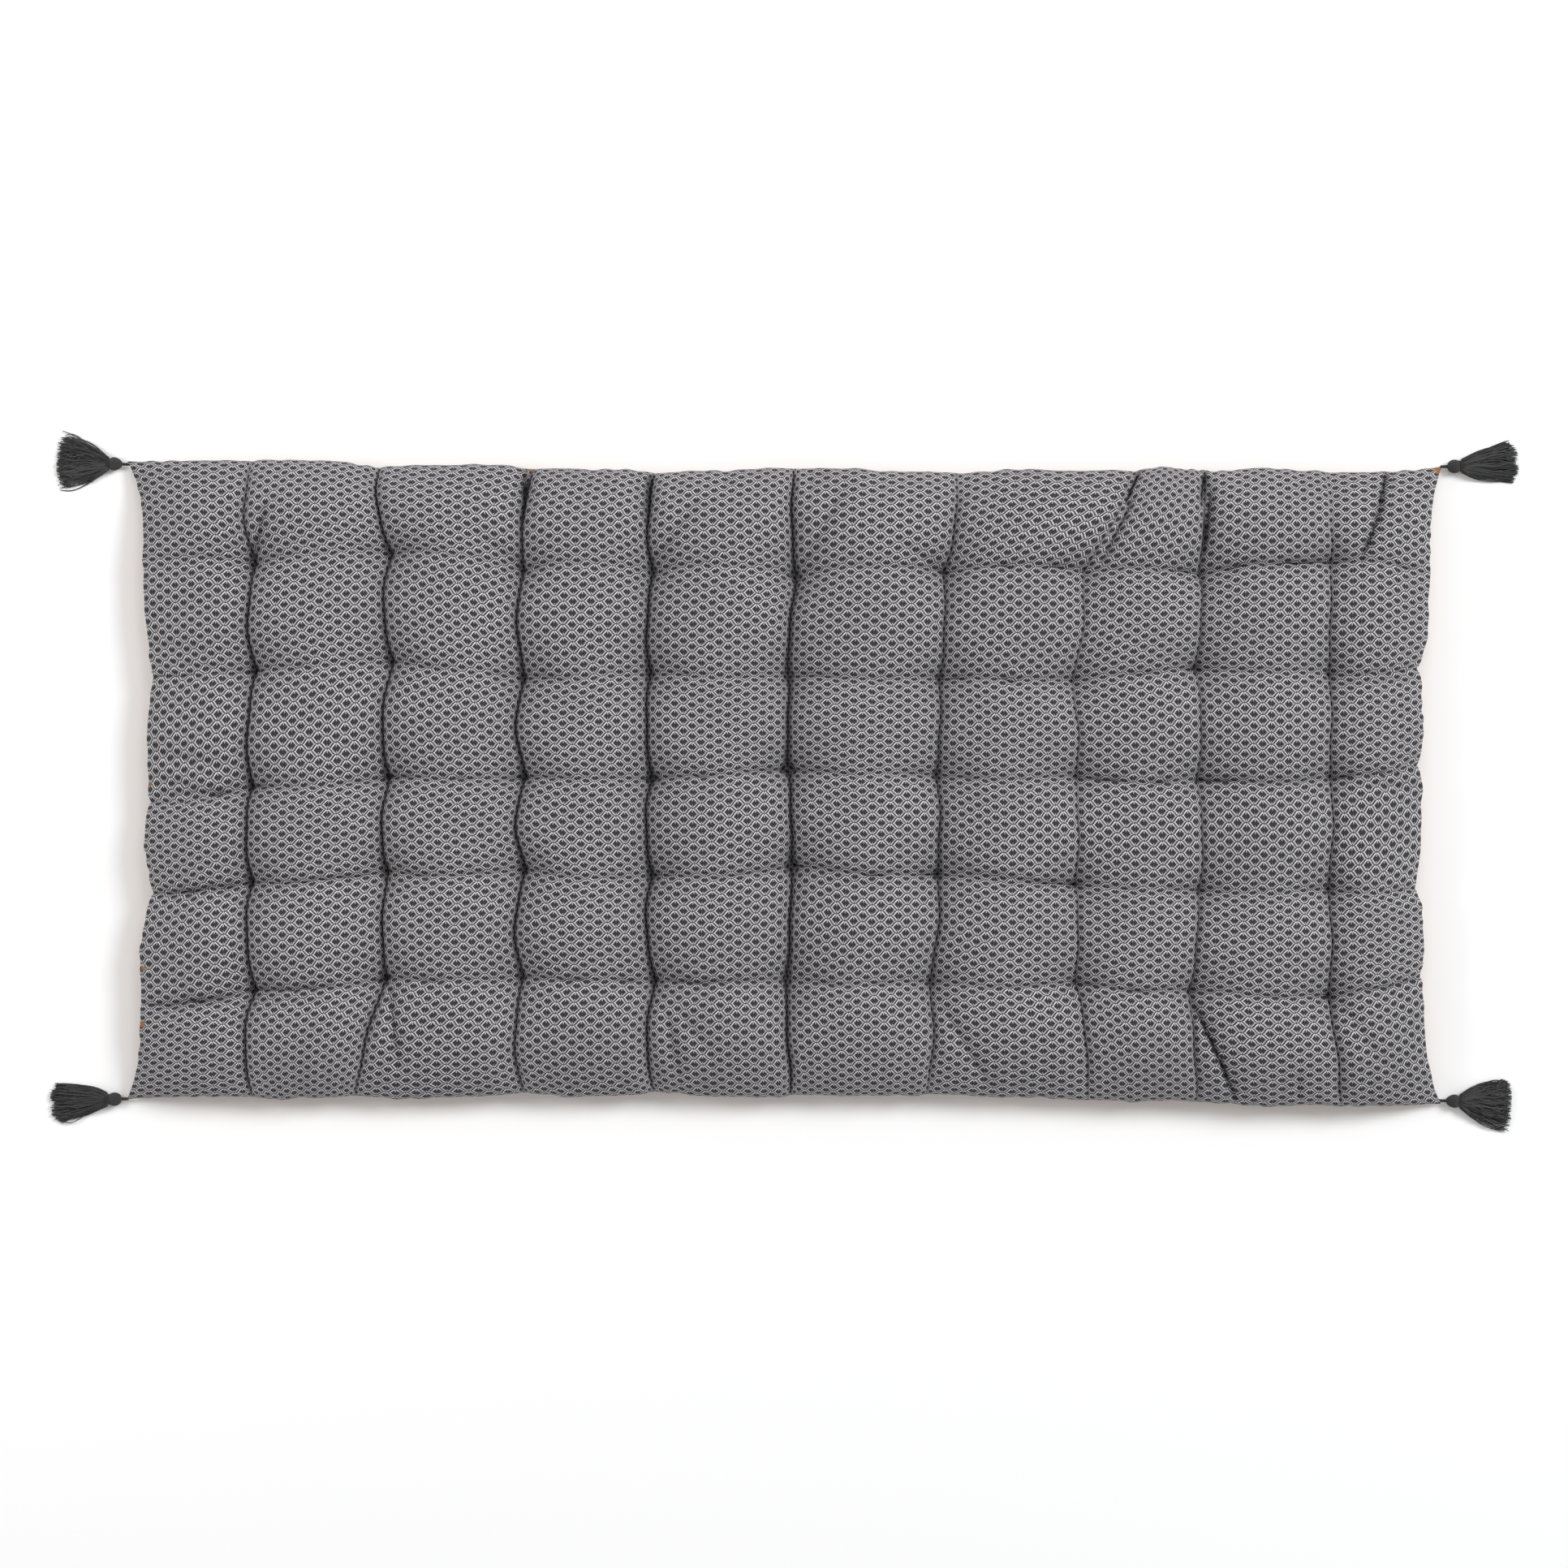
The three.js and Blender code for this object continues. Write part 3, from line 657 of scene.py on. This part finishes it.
DARK_YARN = (0.049, 0.046, 0.050, 1.0)
KNOT_YARN = (0.08, 0.077, 0.081, 1.0)
# Painted shade: the yarn's colour at the edges of its threads, in the hollows beside a tick and at specks of
# the fuzz noise.
SHADE_YARN = (0.010, 0.0095, 0.0105, 1.0)
CHANNEL_YARN = (0.026, 0.025, 0.027, 1.0)
CHANNEL_SOFT = (0.07, 0.068, 0.072, 1.0)
LIGHT_YARN = (0.76, 0.741, 0.765, 1.0)
SLIT_SHADE = (0.009, 0.0085, 0.009, 1.0)  # painted shade: the cloth that is drawn down into a fold, where no light comes

lattice_cloth, start, shader = finish_of("lattice_cloth", 0.92, sheen=0.05)
flat, flat_u, flat_v = start.flat_map("Cloth")
flat_u = flat_u / MM
flat_v = flat_v / MM
thread_u = (flat_u / THREAD).maths("FLOOR")
thread_v = (flat_v / THREAD).maths("FLOOR")
chart_u = (thread_u + 0.5) * THREAD
chart_v = (thread_v + 0.5) * THREAD
wrap_u = chart_u - (chart_u / (2 * REPEAT_HALF_WIDTH)).maths("ROUND") * (2 * REPEAT_HALF_WIDTH)
wrap_v = chart_v - (chart_v / (2 * REPEAT_HALF_HEIGHT)).maths("ROUND") * (2 * REPEAT_HALF_HEIGHT)
between = REPEAT_HALF_WIDTH + STROKE_SLOPE * REPEAT_HALF_HEIGHT
from_first = wrap_u.maths("ABSOLUTE") + wrap_v.maths("ABSOLUTE") * STROKE_SLOPE
in_second = from_first.maths("GREATER_THAN", between / 2)
reach = from_first.maths("MINIMUM", between - from_first)
aside = wrap_u - in_second * wrap_u.maths("SIGN") * REPEAT_HALF_WIDTH
upward = wrap_v - in_second * wrap_v.maths("SIGN") * REPEAT_HALF_HEIGHT
aside_size = aside.maths("ABSOLUTE")
upward_size = upward.maths("ABSOLUTE")
from_point = REPEAT_HALF_HEIGHT - upward_size
from_corner = REPEAT_HALF_WIDTH - aside_size
at_point = (from_point / KNOT_HIGH).maths("MAXIMUM", aside_size / KNOT_WIDE)
at_corner = (upward_size / KNOT_HIGH).maths("MAXIMUM", from_corner / KNOT_WIDE)
knot = at_point.maths("MINIMUM", at_corner).step(*KNOT_EDGE)
outline = reach.step(STROKE_INNER - STROKE_EDGE, STROKE_INNER + STROKE_EDGE)
outline = outline * reach.step(STROKE_OUTER + STROKE_EDGE, STROKE_OUTER - STROKE_EDGE)
outline = outline * from_point.step(*STROKE_END_UP) * aside_size.step(*STROKE_END_ASIDE)
corner_tip = upward_size.step(*TIP_HIGH) * aside_size.step(*TIP_OUTER) * aside_size.step(*TIP_INNER)
tick = aside_size.step(*TICK_WIDE) * upward_size.step(*TICK_OUTER)
top_tick = tick * upward.step(*TOP_TICK) * TOP_TICK_TONE
foot_tick = tick * upward.step(*FOOT_TICK) * FOOT_TICK_TONE
# Painted side shade: strokes to the upper left of a diamond are lighter, those to the lower right darker.
slant_tone = (upward - aside) * STROKE_SLANT_TONE + STROKE_TONE
light = (outline * slant_tone).maths("MAXIMUM", corner_tip * TIP_TONE)
light = light.maths("MAXIMUM", top_tick).maths("MAXIMUM", foot_tick)
in_u = (flat_u / THREAD - thread_u - 0.5) * 2.0
in_v = (flat_v / THREAD - thread_v - 0.5) * 2.0
warp = 1.0 - in_u * in_u
weft = 1.0 - in_v * in_v
thread_round = warp + light * (weft - warp)
fuzz = start.node("ShaderNodeTexNoise", None, {"Vector": flat, "Scale": FUZZ_SCALE, "Detail": 2.0})
cloud = start.node("ShaderNodeTexNoise", None, {"Vector": flat, "Scale": CLOUD_SCALE, "Detail": 2.0})
worn = (light * (fuzz * 0.4 + 0.8)).maths("MULTIPLY", cloud * 0.3 + 0.85, clamp=True)
# Painted shade: the diamond darkens to the shade yarn in the hollows beside each tick, and also at specks
# where the fuzz noise is low.
pocket_shade = aside_size.step(*POCKET_ASIDE[0]) * aside_size.step(*POCKET_ASIDE[1])
pocket_shade = pocket_shade * upward_size.step(*POCKET_UP[0]) * upward_size.step(*POCKET_UP[1])
deep = (fuzz.step(0.62, 0.38) * 0.5).maths("MAXIMUM", pocket_shade * 0.8)
channel = (aside * upward).step(-CHANNEL_SLANT, CHANNEL_SLANT).blend(CHANNEL_YARN, CHANNEL_SOFT)
diamond = deep.blend(DARK_YARN, SHADE_YARN)
ground = reach.step(STROKE_OUTER - STROKE_EDGE, STROKE_OUTER + 2 * STROKE_EDGE).blend(diamond, channel)
colour = worn.blend(knot.blend(ground, KNOT_YARN), LIGHT_YARN)
# Painted shade: each thread darkens towards the shade yarn at its edges, where it rounds away from the light.
shaded = (thread_round * THREAD_SHADE + (1 - THREAD_SHADE)).clamped().blend(SHADE_YARN, colour)
# Painted shade: along the closed folds and deep creases the colour goes almost black, for the shade inside a
# slit narrower than the cloth mesh.
painted_slit_shade = start.node("ShaderNodeAttribute", {"attribute_name": "painted_slit_shade"}, out=2)
(painted_slit_shade * painted_slit_shade * (fuzz * 0.4 + 0.8)).clamped().blend(shaded, SLIT_SHADE).into(shader, "Base Color")
height = warp * weft * 0.6 + fuzz * 0.4
bump = start.node("ShaderNodeBump", None, {"Strength": 0.4, "Distance": 0.3 * MM, "Height": height})
bump.into(shader, "Normal")

# The back's plain ochre cotton, in a close plain weave.
OCHRE = (0.32, 0.15, 0.05, 1.0)
OCHRE_DARK = (0.23, 0.105, 0.035, 1.0)
OCHRE_THREADS = 2 * np.pi / (0.9 * MM)  # radians of the weave's wave to a metre
ochre_cotton, start, shader = finish_of("ochre_cotton", 0.92, sheen=0.1)
flat, flat_u, flat_v = start.flat_map("Cloth")
weave = (flat_u * OCHRE_THREADS).maths("SINE") * (flat_v * OCHRE_THREADS).maths("SINE")
slub = start.node("ShaderNodeTexNoise", None, {"Vector": flat, "Scale": 220.0, "Detail": 3.0})
tone = (weave * 0.18 + slub * 0.9).maths("MULTIPLY", 0.9, clamp=True)
tone.blend(OCHRE_DARK, OCHRE).into(shader, "Base Color")
bump = start.node("ShaderNodeBump", None, {"Strength": 0.3, "Distance": 0.3 * MM, "Height": weave + slub})
bump.into(shader, "Normal")

# Where the seam rolls over, a little of the back's cloth shows on the front: millimetres about the middle,
# and reach.
ROLLED_SEAM = [
    ((608, 292), 6),
    ((-588, -1.5), 2.5),
    ((-592, -171), 2.2),
    ((-594, -223), 2.8),
    ((-236, 290), 2.5),
]
middles = front.reshape(-1, 3)[front_cells.reshape(-1, 4)].mean(axis=1) / MM
rolled = np.zeros(len(middles), bool)
for spot, spot_reach in ROLLED_SEAM:
    rolled |= np.hypot(*(middles[:, :2] - spot).T) < spot_reach

face_material = np.concatenate([rolled.astype(int), np.ones(len(back_faces), int)])
cloths = [lattice_cloth, ochre_cotton]
mattress = mesh_piece("mattress_cover", points, front_faces + back_faces, cloths, face_material)

# Two maps: the cloth's own metres, for the weave, and the two panels side by side on a unit square.
FRONT_MAP = np.array([0.98, 0.60]), np.array([0.01, 0.39])  # size and place on the square
BACK_MAP = np.array([0.60, 0.35]), np.array([0.01, 0.01])
corner_id = corner_points(mattress)
is_back = np.arange(len(corner_id))[:, None] >= 4 * len(front_faces)
corner_flat = np.concatenate([cloth.reshape(-1, 2), cloth[back_only]])[corner_id]
add_map(mattress, "Cloth", corner_flat)
unit = corner_flat / [cloth_x[-1], cloth_y[-1]] + 0.5
front_map, back_map = (unit * size + place for size, place in (FRONT_MAP, BACK_MAP))
add_map(mattress, "OFBake", np.where(is_back, back_map, front_map))

# How strongly each point of the front is painted with the shade of a closed fold's slit.
fold_slit_shade_x = np.clip(crease_x / SLIT_DEPTH, 0, 1) ** 0.75 * (1 - 0.3 * tuft) * (on_fold_x & is_fold_x)
fold_slit_shade_y = 0.95 * np.sqrt(np.clip(midway * patchy(across[None, :], fold_y), 0, 1)) * (on_fold_y & is_fold_y)
slit_shade_share = np.maximum(np.sqrt(short_slit_shade), np.maximum(fold_slit_shade_x, fold_slit_shade_y))
slit_shade_of = np.where(on_seam, 0.0, slit_shade_share).ravel()
add_value(mattress, "painted_slit_shade", np.append(slit_shade_of, np.zeros(np.count_nonzero(back_only))))
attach(mattress, "root")
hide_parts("mattress")


# The tassels: at each corner a short twisted cord carries a hank of charcoal cotton yarn. The hank is
# folded over the cord into a round head, bound below it with a few turns of the same yarn, and left loose
# as a skirt that lies fanned out on the floor.
CORD_LENGTH = 5.4 * MM
CORD_PLY = 0.95 * MM  # radius of each of the cord's two plies
CORD_TURNS = 1.4
CORD_SEWN_IN = 0.8 * MM  # of its length hidden in the corner, and in the head
CORD_STATIONS = 26
HEAD_START = 5.2 * MM  # from the tip of the corner, along the tassel
HEAD_LENGTH = 13.4 * MM
HEAD_RADIUS = 6.3 * MM
HEAD_YARNS = 24  # yarns that show side by side around the head
HEAD_RIB = 0.55 * MM  # depth between two yarns
HEAD_STATIONS = 20
NECK_RADIUS = 4.6 * MM
WRAP_START = 17.2 * MM
WRAP_YARN = 0.55 * MM
WRAP_TURNS = 3
WRAP_STATIONS = 60
SKIRT_START = 18.6 * MM
SKIRT_PILE = 8.5 * MM  # height of the skirt's heap of yarn behind the neck, and at its end
SKIRT_END_PILE = 4.2 * MM
STRAND_RADIUS = 0.6 * MM
STRANDS = 260
STRAND_STATIONS = 14
STRAND_SIDES = 4
CORD_SIDES = 6
STRAY_END = 5 * MM  # how far the end of the wildest strand strays
CLUMP_BEAT, CLUMP_PHASE = 8.5, 0.8  # of the clumps across a bunched skirt
CLUMP_SWAY = 20 * MM
STRAND_LIFT = 0.7 * MM
DROP_END = 0.42  # share of its length over which a strand comes down to its place
HEAD_TONE, WRAP_TONE, CORD_TONE = 0.35, 0.1, 0.2

SKIRTS = {
    # millimetres long, half width to each side, power of the flare on each side, unevenness and bunching of
    # the ends, waviness and crossing of the strands, slope of the head towards the cord
    "frayed": (49, (20, 17), (2.0, 2.8), 0.16, 0.0, 4.0, 0.3, 1.3),
    "bunched": (54, (15, 20.5), (3.6, 1.5), 0.04, 0.1, 1.9, 0.09, 1.0),
}
TASSELS = [
    # name, side along X, end along Y, millimetres that the cord is sewn on down the side seam from the tip,
    # degrees turned from straight outwards, kind of skirt
    ("head_left", -1, 1, 2.5, 2, "frayed"),
    ("head_right", 1, 1, 0.3, 2, "bunched"),
    ("foot_left", -1, -1, 0.3, 2, "bunched"),
    ("foot_right", 1, -1, 2.5, 2, "frayed"),
]


def tubes(paths, radii, sides):
    """Closed tubes about many paths at once: a ring of points about each path point, across its tangent.
    Returns the points, the four-cornered faces, and for each point its distance along and turn around."""
    tangent = np.gradient(paths, axis=1)
    tangent /= np.linalg.norm(tangent, axis=-1, keepdims=True)
    level = np.cross(tangent, [0.0, 0.0, 1.0])
    level /= np.maximum(np.linalg.norm(level, axis=-1, keepdims=True), 1e-9)
    upright = np.cross(level, tangent)
    turn = 2 * np.pi * (np.arange(sides) + 0.5) / sides
    ring = np.cos(turn)[:, None] * level[:, :, None] + np.sin(turn)[:, None] * upright[:, :, None]
    points = paths[:, :, None] + ring * radii[:, :, None, None]
    count, stations = paths.shape[:2]
    ids = np.arange(count * stations * sides).reshape(count, stations, sides)
    here, there = ids, np.roll(ids, -1, axis=2)
    walls = np.stack([here[:, :-1], there[:, :-1], there[:, 1:], here[:, 1:]], axis=-1)
    step = np.linalg.norm(np.diff(paths, axis=1), axis=-1)
    along = np.concatenate([np.zeros((count, 1)), np.cumsum(step, axis=1)], axis=1)
    along = np.repeat(along[:, :, None], sides, axis=2)
    around = np.broadcast_to(np.arange(sides) / sides, along.shape)
    faces = walls.reshape(-1, 4).tolist() + ids[:, 0, ::-1].tolist() + ids[:, -1].tolist()
    return points.reshape(-1, 3), faces, np.stack([along, around], axis=-1).reshape(-1, 2)


def skirt_paths(seeded, long, wide, power, uneven, bunched, wavy, crossing):
    """The skirt's strands, along X from the neck. Each has a place across the fan and one in the heap. It
    flares out quickly behind the neck and then ever less, comes down from the neck to its place in the
    heap, waves more towards its end, and a few stray out at the sides. Bunched ends draw into clumps."""
    fan = np.linspace(-1, 1, STRANDS)[:, None]
    heap = seeded.permutation(np.linspace(0, 1, STRANDS))[:, None]
    share = np.linspace(0, 1, STRAND_STATIONS)[None, :]
    clump = CLUMP_BEAT * fan + CLUMP_PHASE
    shorter = uneven * seeded.uniform(0, 1, (STRANDS, 1)) ** 2
    length = long * MM * (1 - shorter - bunched * (1 + np.sin(clump)) / 2)
    length = length * (1 - 0.05 * np.abs(fan) ** 3)
    root_y = 1.4 * NECK_RADIUS * fan * np.sqrt(1 - (0.85 * (2 * heap - 1)) ** 2)
    root_z = HEAD_RADIUS + 0.85 * NECK_RADIUS * (2 * heap - 1)
    aim = fan + crossing * seeded.normal(0, 1, (STRANDS, 1)) * (1 - 0.5 * np.abs(fan))
    astray = STRAY_END * seeded.uniform(0, 1, (STRANDS, 1)) ** 7 * np.sign(fan) * share**2.5
    end_y = np.where(aim < 0, wide[0], wide[1]) * MM * aim
    end_y = end_y + CLUMP_SWAY * bunched * np.cos(clump) * share
    flare = 1 - (1 - share) ** np.interp(fan, [-1, 1], power)
    phase = seeded.uniform(0, 2 * np.pi, (STRANDS, 2, 1))
    beat = seeded.uniform(0.7, 2.2, (STRANDS, 2, 1))
    sway = wavy * MM * seeded.normal(0, 0.6, (STRANDS, 1))
    sway = sway * np.sin(2 * np.pi * beat[:, 0] * share + phase[:, 0])
    lift = STRAND_LIFT * np.sin(2 * np.pi * beat[:, 1] * share + phase[:, 1])
    pile = SKIRT_PILE + (SKIRT_END_PILE - SKIRT_PILE) * share
    rest = STRAND_RADIUS + heap * pile * (1 - 0.6 * fan**2)
    drop = np.clip(share / DROP_END, 0, 1)
    drop = drop * drop * (3 - 2 * drop)
    x = SKIRT_START + length * share * np.sqrt(1 - (0.3 * fan * flare) ** 2)
    y = root_y + (end_y - root_y) * flare + sway * share**0.7 + astray
    z = np.maximum(STRAND_RADIUS, root_z + (rest - root_z) * drop + lift * share)
    taper = np.interp(share, [0, 0.1, 0.85, 1], [0.9, 1, 1, 0.55])
    return np.stack([x, y, z], axis=-1), STRAND_RADIUS * seeded.uniform(0.65, 1.25, (STRANDS, 1)) * taper


def head_surface(slope):
    """The head: a round body along X, the power of a sine, whose widest place is moved by its slope. It is
    ribbed lengthwise by its yarns."""
    share = np.linspace(0.02, 0.94, HEAD_STATIONS)[:, None]
    turn = np.linspace(0, 2 * np.pi, 6 * HEAD_YARNS, endpoint=False)[None, :]
    swell = np.sin(np.pi * share**slope) ** 0.85
    radius = HEAD_RADIUS * np.maximum(swell, (share > 0.5) * NECK_RADIUS / HEAD_RADIUS)
    ribs = np.abs(np.sin(HEAD_YARNS / 2 * turn + 1.2 * share)) - 1
    radius = radius + HEAD_RIB * ribs * np.sqrt(swell)
    x = HEAD_START + HEAD_LENGTH * (1 - np.cos(np.pi * share)) / 2 + 0 * turn
    return np.stack([x, radius * np.cos(turn), HEAD_RADIUS + radius * np.sin(turn)], axis=-1)


def closed_rings(grid):
    """A body of rings with each end closed by one face: its points, its faces, and for each point its
    distance along and turn around."""
    ids = np.arange(grid.shape[0] * grid.shape[1]).reshape(grid.shape[:2])
    around = np.roll(ids, -1, axis=1)
    walls = np.stack([ids[:-1], around[:-1], around[1:], ids[1:]], axis=-1).reshape(-1, 4)
    faces = walls[:, ::-1].tolist() + [ids[0].tolist(), ids[-1, ::-1].tolist()]
    turns = np.broadcast_to(np.linspace(0, HEAD_YARNS, grid.shape[1]), grid.shape[:2])
    return grid.reshape(-1, 3), faces, np.stack([grid[..., 0], turns], axis=-1).reshape(-1, 2)


def coil(start, turns, pitch, radius, stations):
    """One path that winds about the tassel's own axis, from a start along X."""
    turn = np.linspace(0, 2 * np.pi * turns, stations)
    x = start + pitch * turn / (2 * np.pi)
    return np.stack([x, radius * np.cos(turn), HEAD_RADIUS + radius * np.sin(turn)], axis=-1)


# Charcoal cotton yarn: two soft plies, a little lighter or darker from strand to strand, with a short nap.
CHARCOAL = (0.018, 0.018, 0.018, 1.0)
CHARCOAL_WORN = (0.082, 0.082, 0.083, 1.0)
PLY_LENGTH = 2.4 * MM
charcoal_yarn, start, shader = finish_of("charcoal_yarn", 0.88, sheen=0.25)
_, yarn_along, yarn_around = start.flat_map("Yarn")
plies = ((yarn_along / PLY_LENGTH + yarn_around) * (2 * np.pi)).maths("SINE")
strand_tone = start.node("ShaderNodeAttribute", {"attribute_name": "strand_tone"}, out=2)
place = start.node("ShaderNodeTexCoord", out=3)
nap = start.node("ShaderNodeTexNoise", None, {"Vector": place, "Scale": 1400.0, "Detail": 3.0})
tone = (plies * 0.06 + nap * 0.5 + strand_tone * 0.8 - 0.35).clamped()
tone.blend(CHARCOAL, CHARCOAL_WORN).into(shader, "Base Color")
height = plies * 0.3 + nap
bump = start.node("ShaderNodeBump", None, {"Strength": 0.5, "Distance": 0.25 * MM, "Height": height})
bump.into(shader, "Normal")


def yarn_piece(name, node, shells, tip, heading):
    """A piece of yarn made of shells of points, faces, yarn coordinates and tones, turned to its heading
    about the vertical and moved to its corner."""
    cos, sin = np.cos(heading), np.sin(heading)
    turned = np.array([[cos, sin, 0.0], [-sin, cos, 0.0], [0.0, 0.0, 1.0]])
    starts = np.cumsum([0] + [len(shell[0]) for shell in shells])
    points = np.concatenate([shell[0] for shell in shells]) @ turned + [tip[0], tip[1], 0.0]
    faces = [[first + n for n in face] for first, shell in zip(starts, shells) for face in shell[1]]
    made = mesh_piece(name, points, faces, [charcoal_yarn])
    add_map(made, "Yarn", np.concatenate([shell[2] for shell in shells])[corner_points(made)])
    add_value(made, "strand_tone", np.concatenate([shell[3] for shell in shells]))
    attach(made, "root")
    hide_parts(node)


for number, (name, side, end, sewn, turn, kind) in enumerate(TASSELS):
    seeded = np.random.default_rng(31 + number)
    heading = (np.pi if side < 0 else 0.0) + side * end * np.radians(turn)
    tip = points_of_corner[side, end] - sewn * MM * np.array([side * 0.3, end])
    *skirt_shape, slope = SKIRTS[kind]
    paths, radii = skirt_paths(seeded, *skirt_shape)
    skirt = tubes(paths, radii, STRAND_SIDES)
    skirt_tone = np.repeat(seeded.uniform(0, 1, STRANDS), STRAND_STATIONS * STRAND_SIDES)
    head = closed_rings(head_surface(slope))
    hank = [(*skirt, skirt_tone), (*head, np.full(len(head[0]), HEAD_TONE))]
    yarn_piece(f"tassel_yarn_{name}", f"tassel_{name}", hank, tip, heading)

    wrap_path = coil(WRAP_START, WRAP_TURNS, 1.9 * WRAP_YARN, NECK_RADIUS + 0.6 * WRAP_YARN, WRAP_STATIONS)
    wrap = tubes(wrap_path[None], np.full((1, WRAP_STATIONS), WRAP_YARN), CORD_SIDES)
    wound = [(*wrap, np.full(len(wrap[0]), WRAP_TONE))]
    yarn_piece(f"tassel_wrap_{name}", f"wrap_{name}", wound, tip, heading)

    cord_pitch = (CORD_LENGTH + 2 * CORD_SEWN_IN) / CORD_TURNS
    ply_path = coil(-CORD_SEWN_IN, CORD_TURNS, cord_pitch, 0.75 * CORD_PLY, CORD_STATIONS)
    ply_paths = np.stack([ply_path] * 2)
    ply_paths[1, :, 1] *= -1
    ply_paths[1, :, 2] = 2 * HEAD_RADIUS - ply_paths[1, :, 2]
    cord = tubes(ply_paths, np.full((2, CORD_STATIONS), CORD_PLY), CORD_SIDES)
    twisted = [(*cord, np.full(len(cord[0]), CORD_TONE))]
    yarn_piece(f"tassel_cord_{name}", f"cord_{name}", twisted, tip, heading)
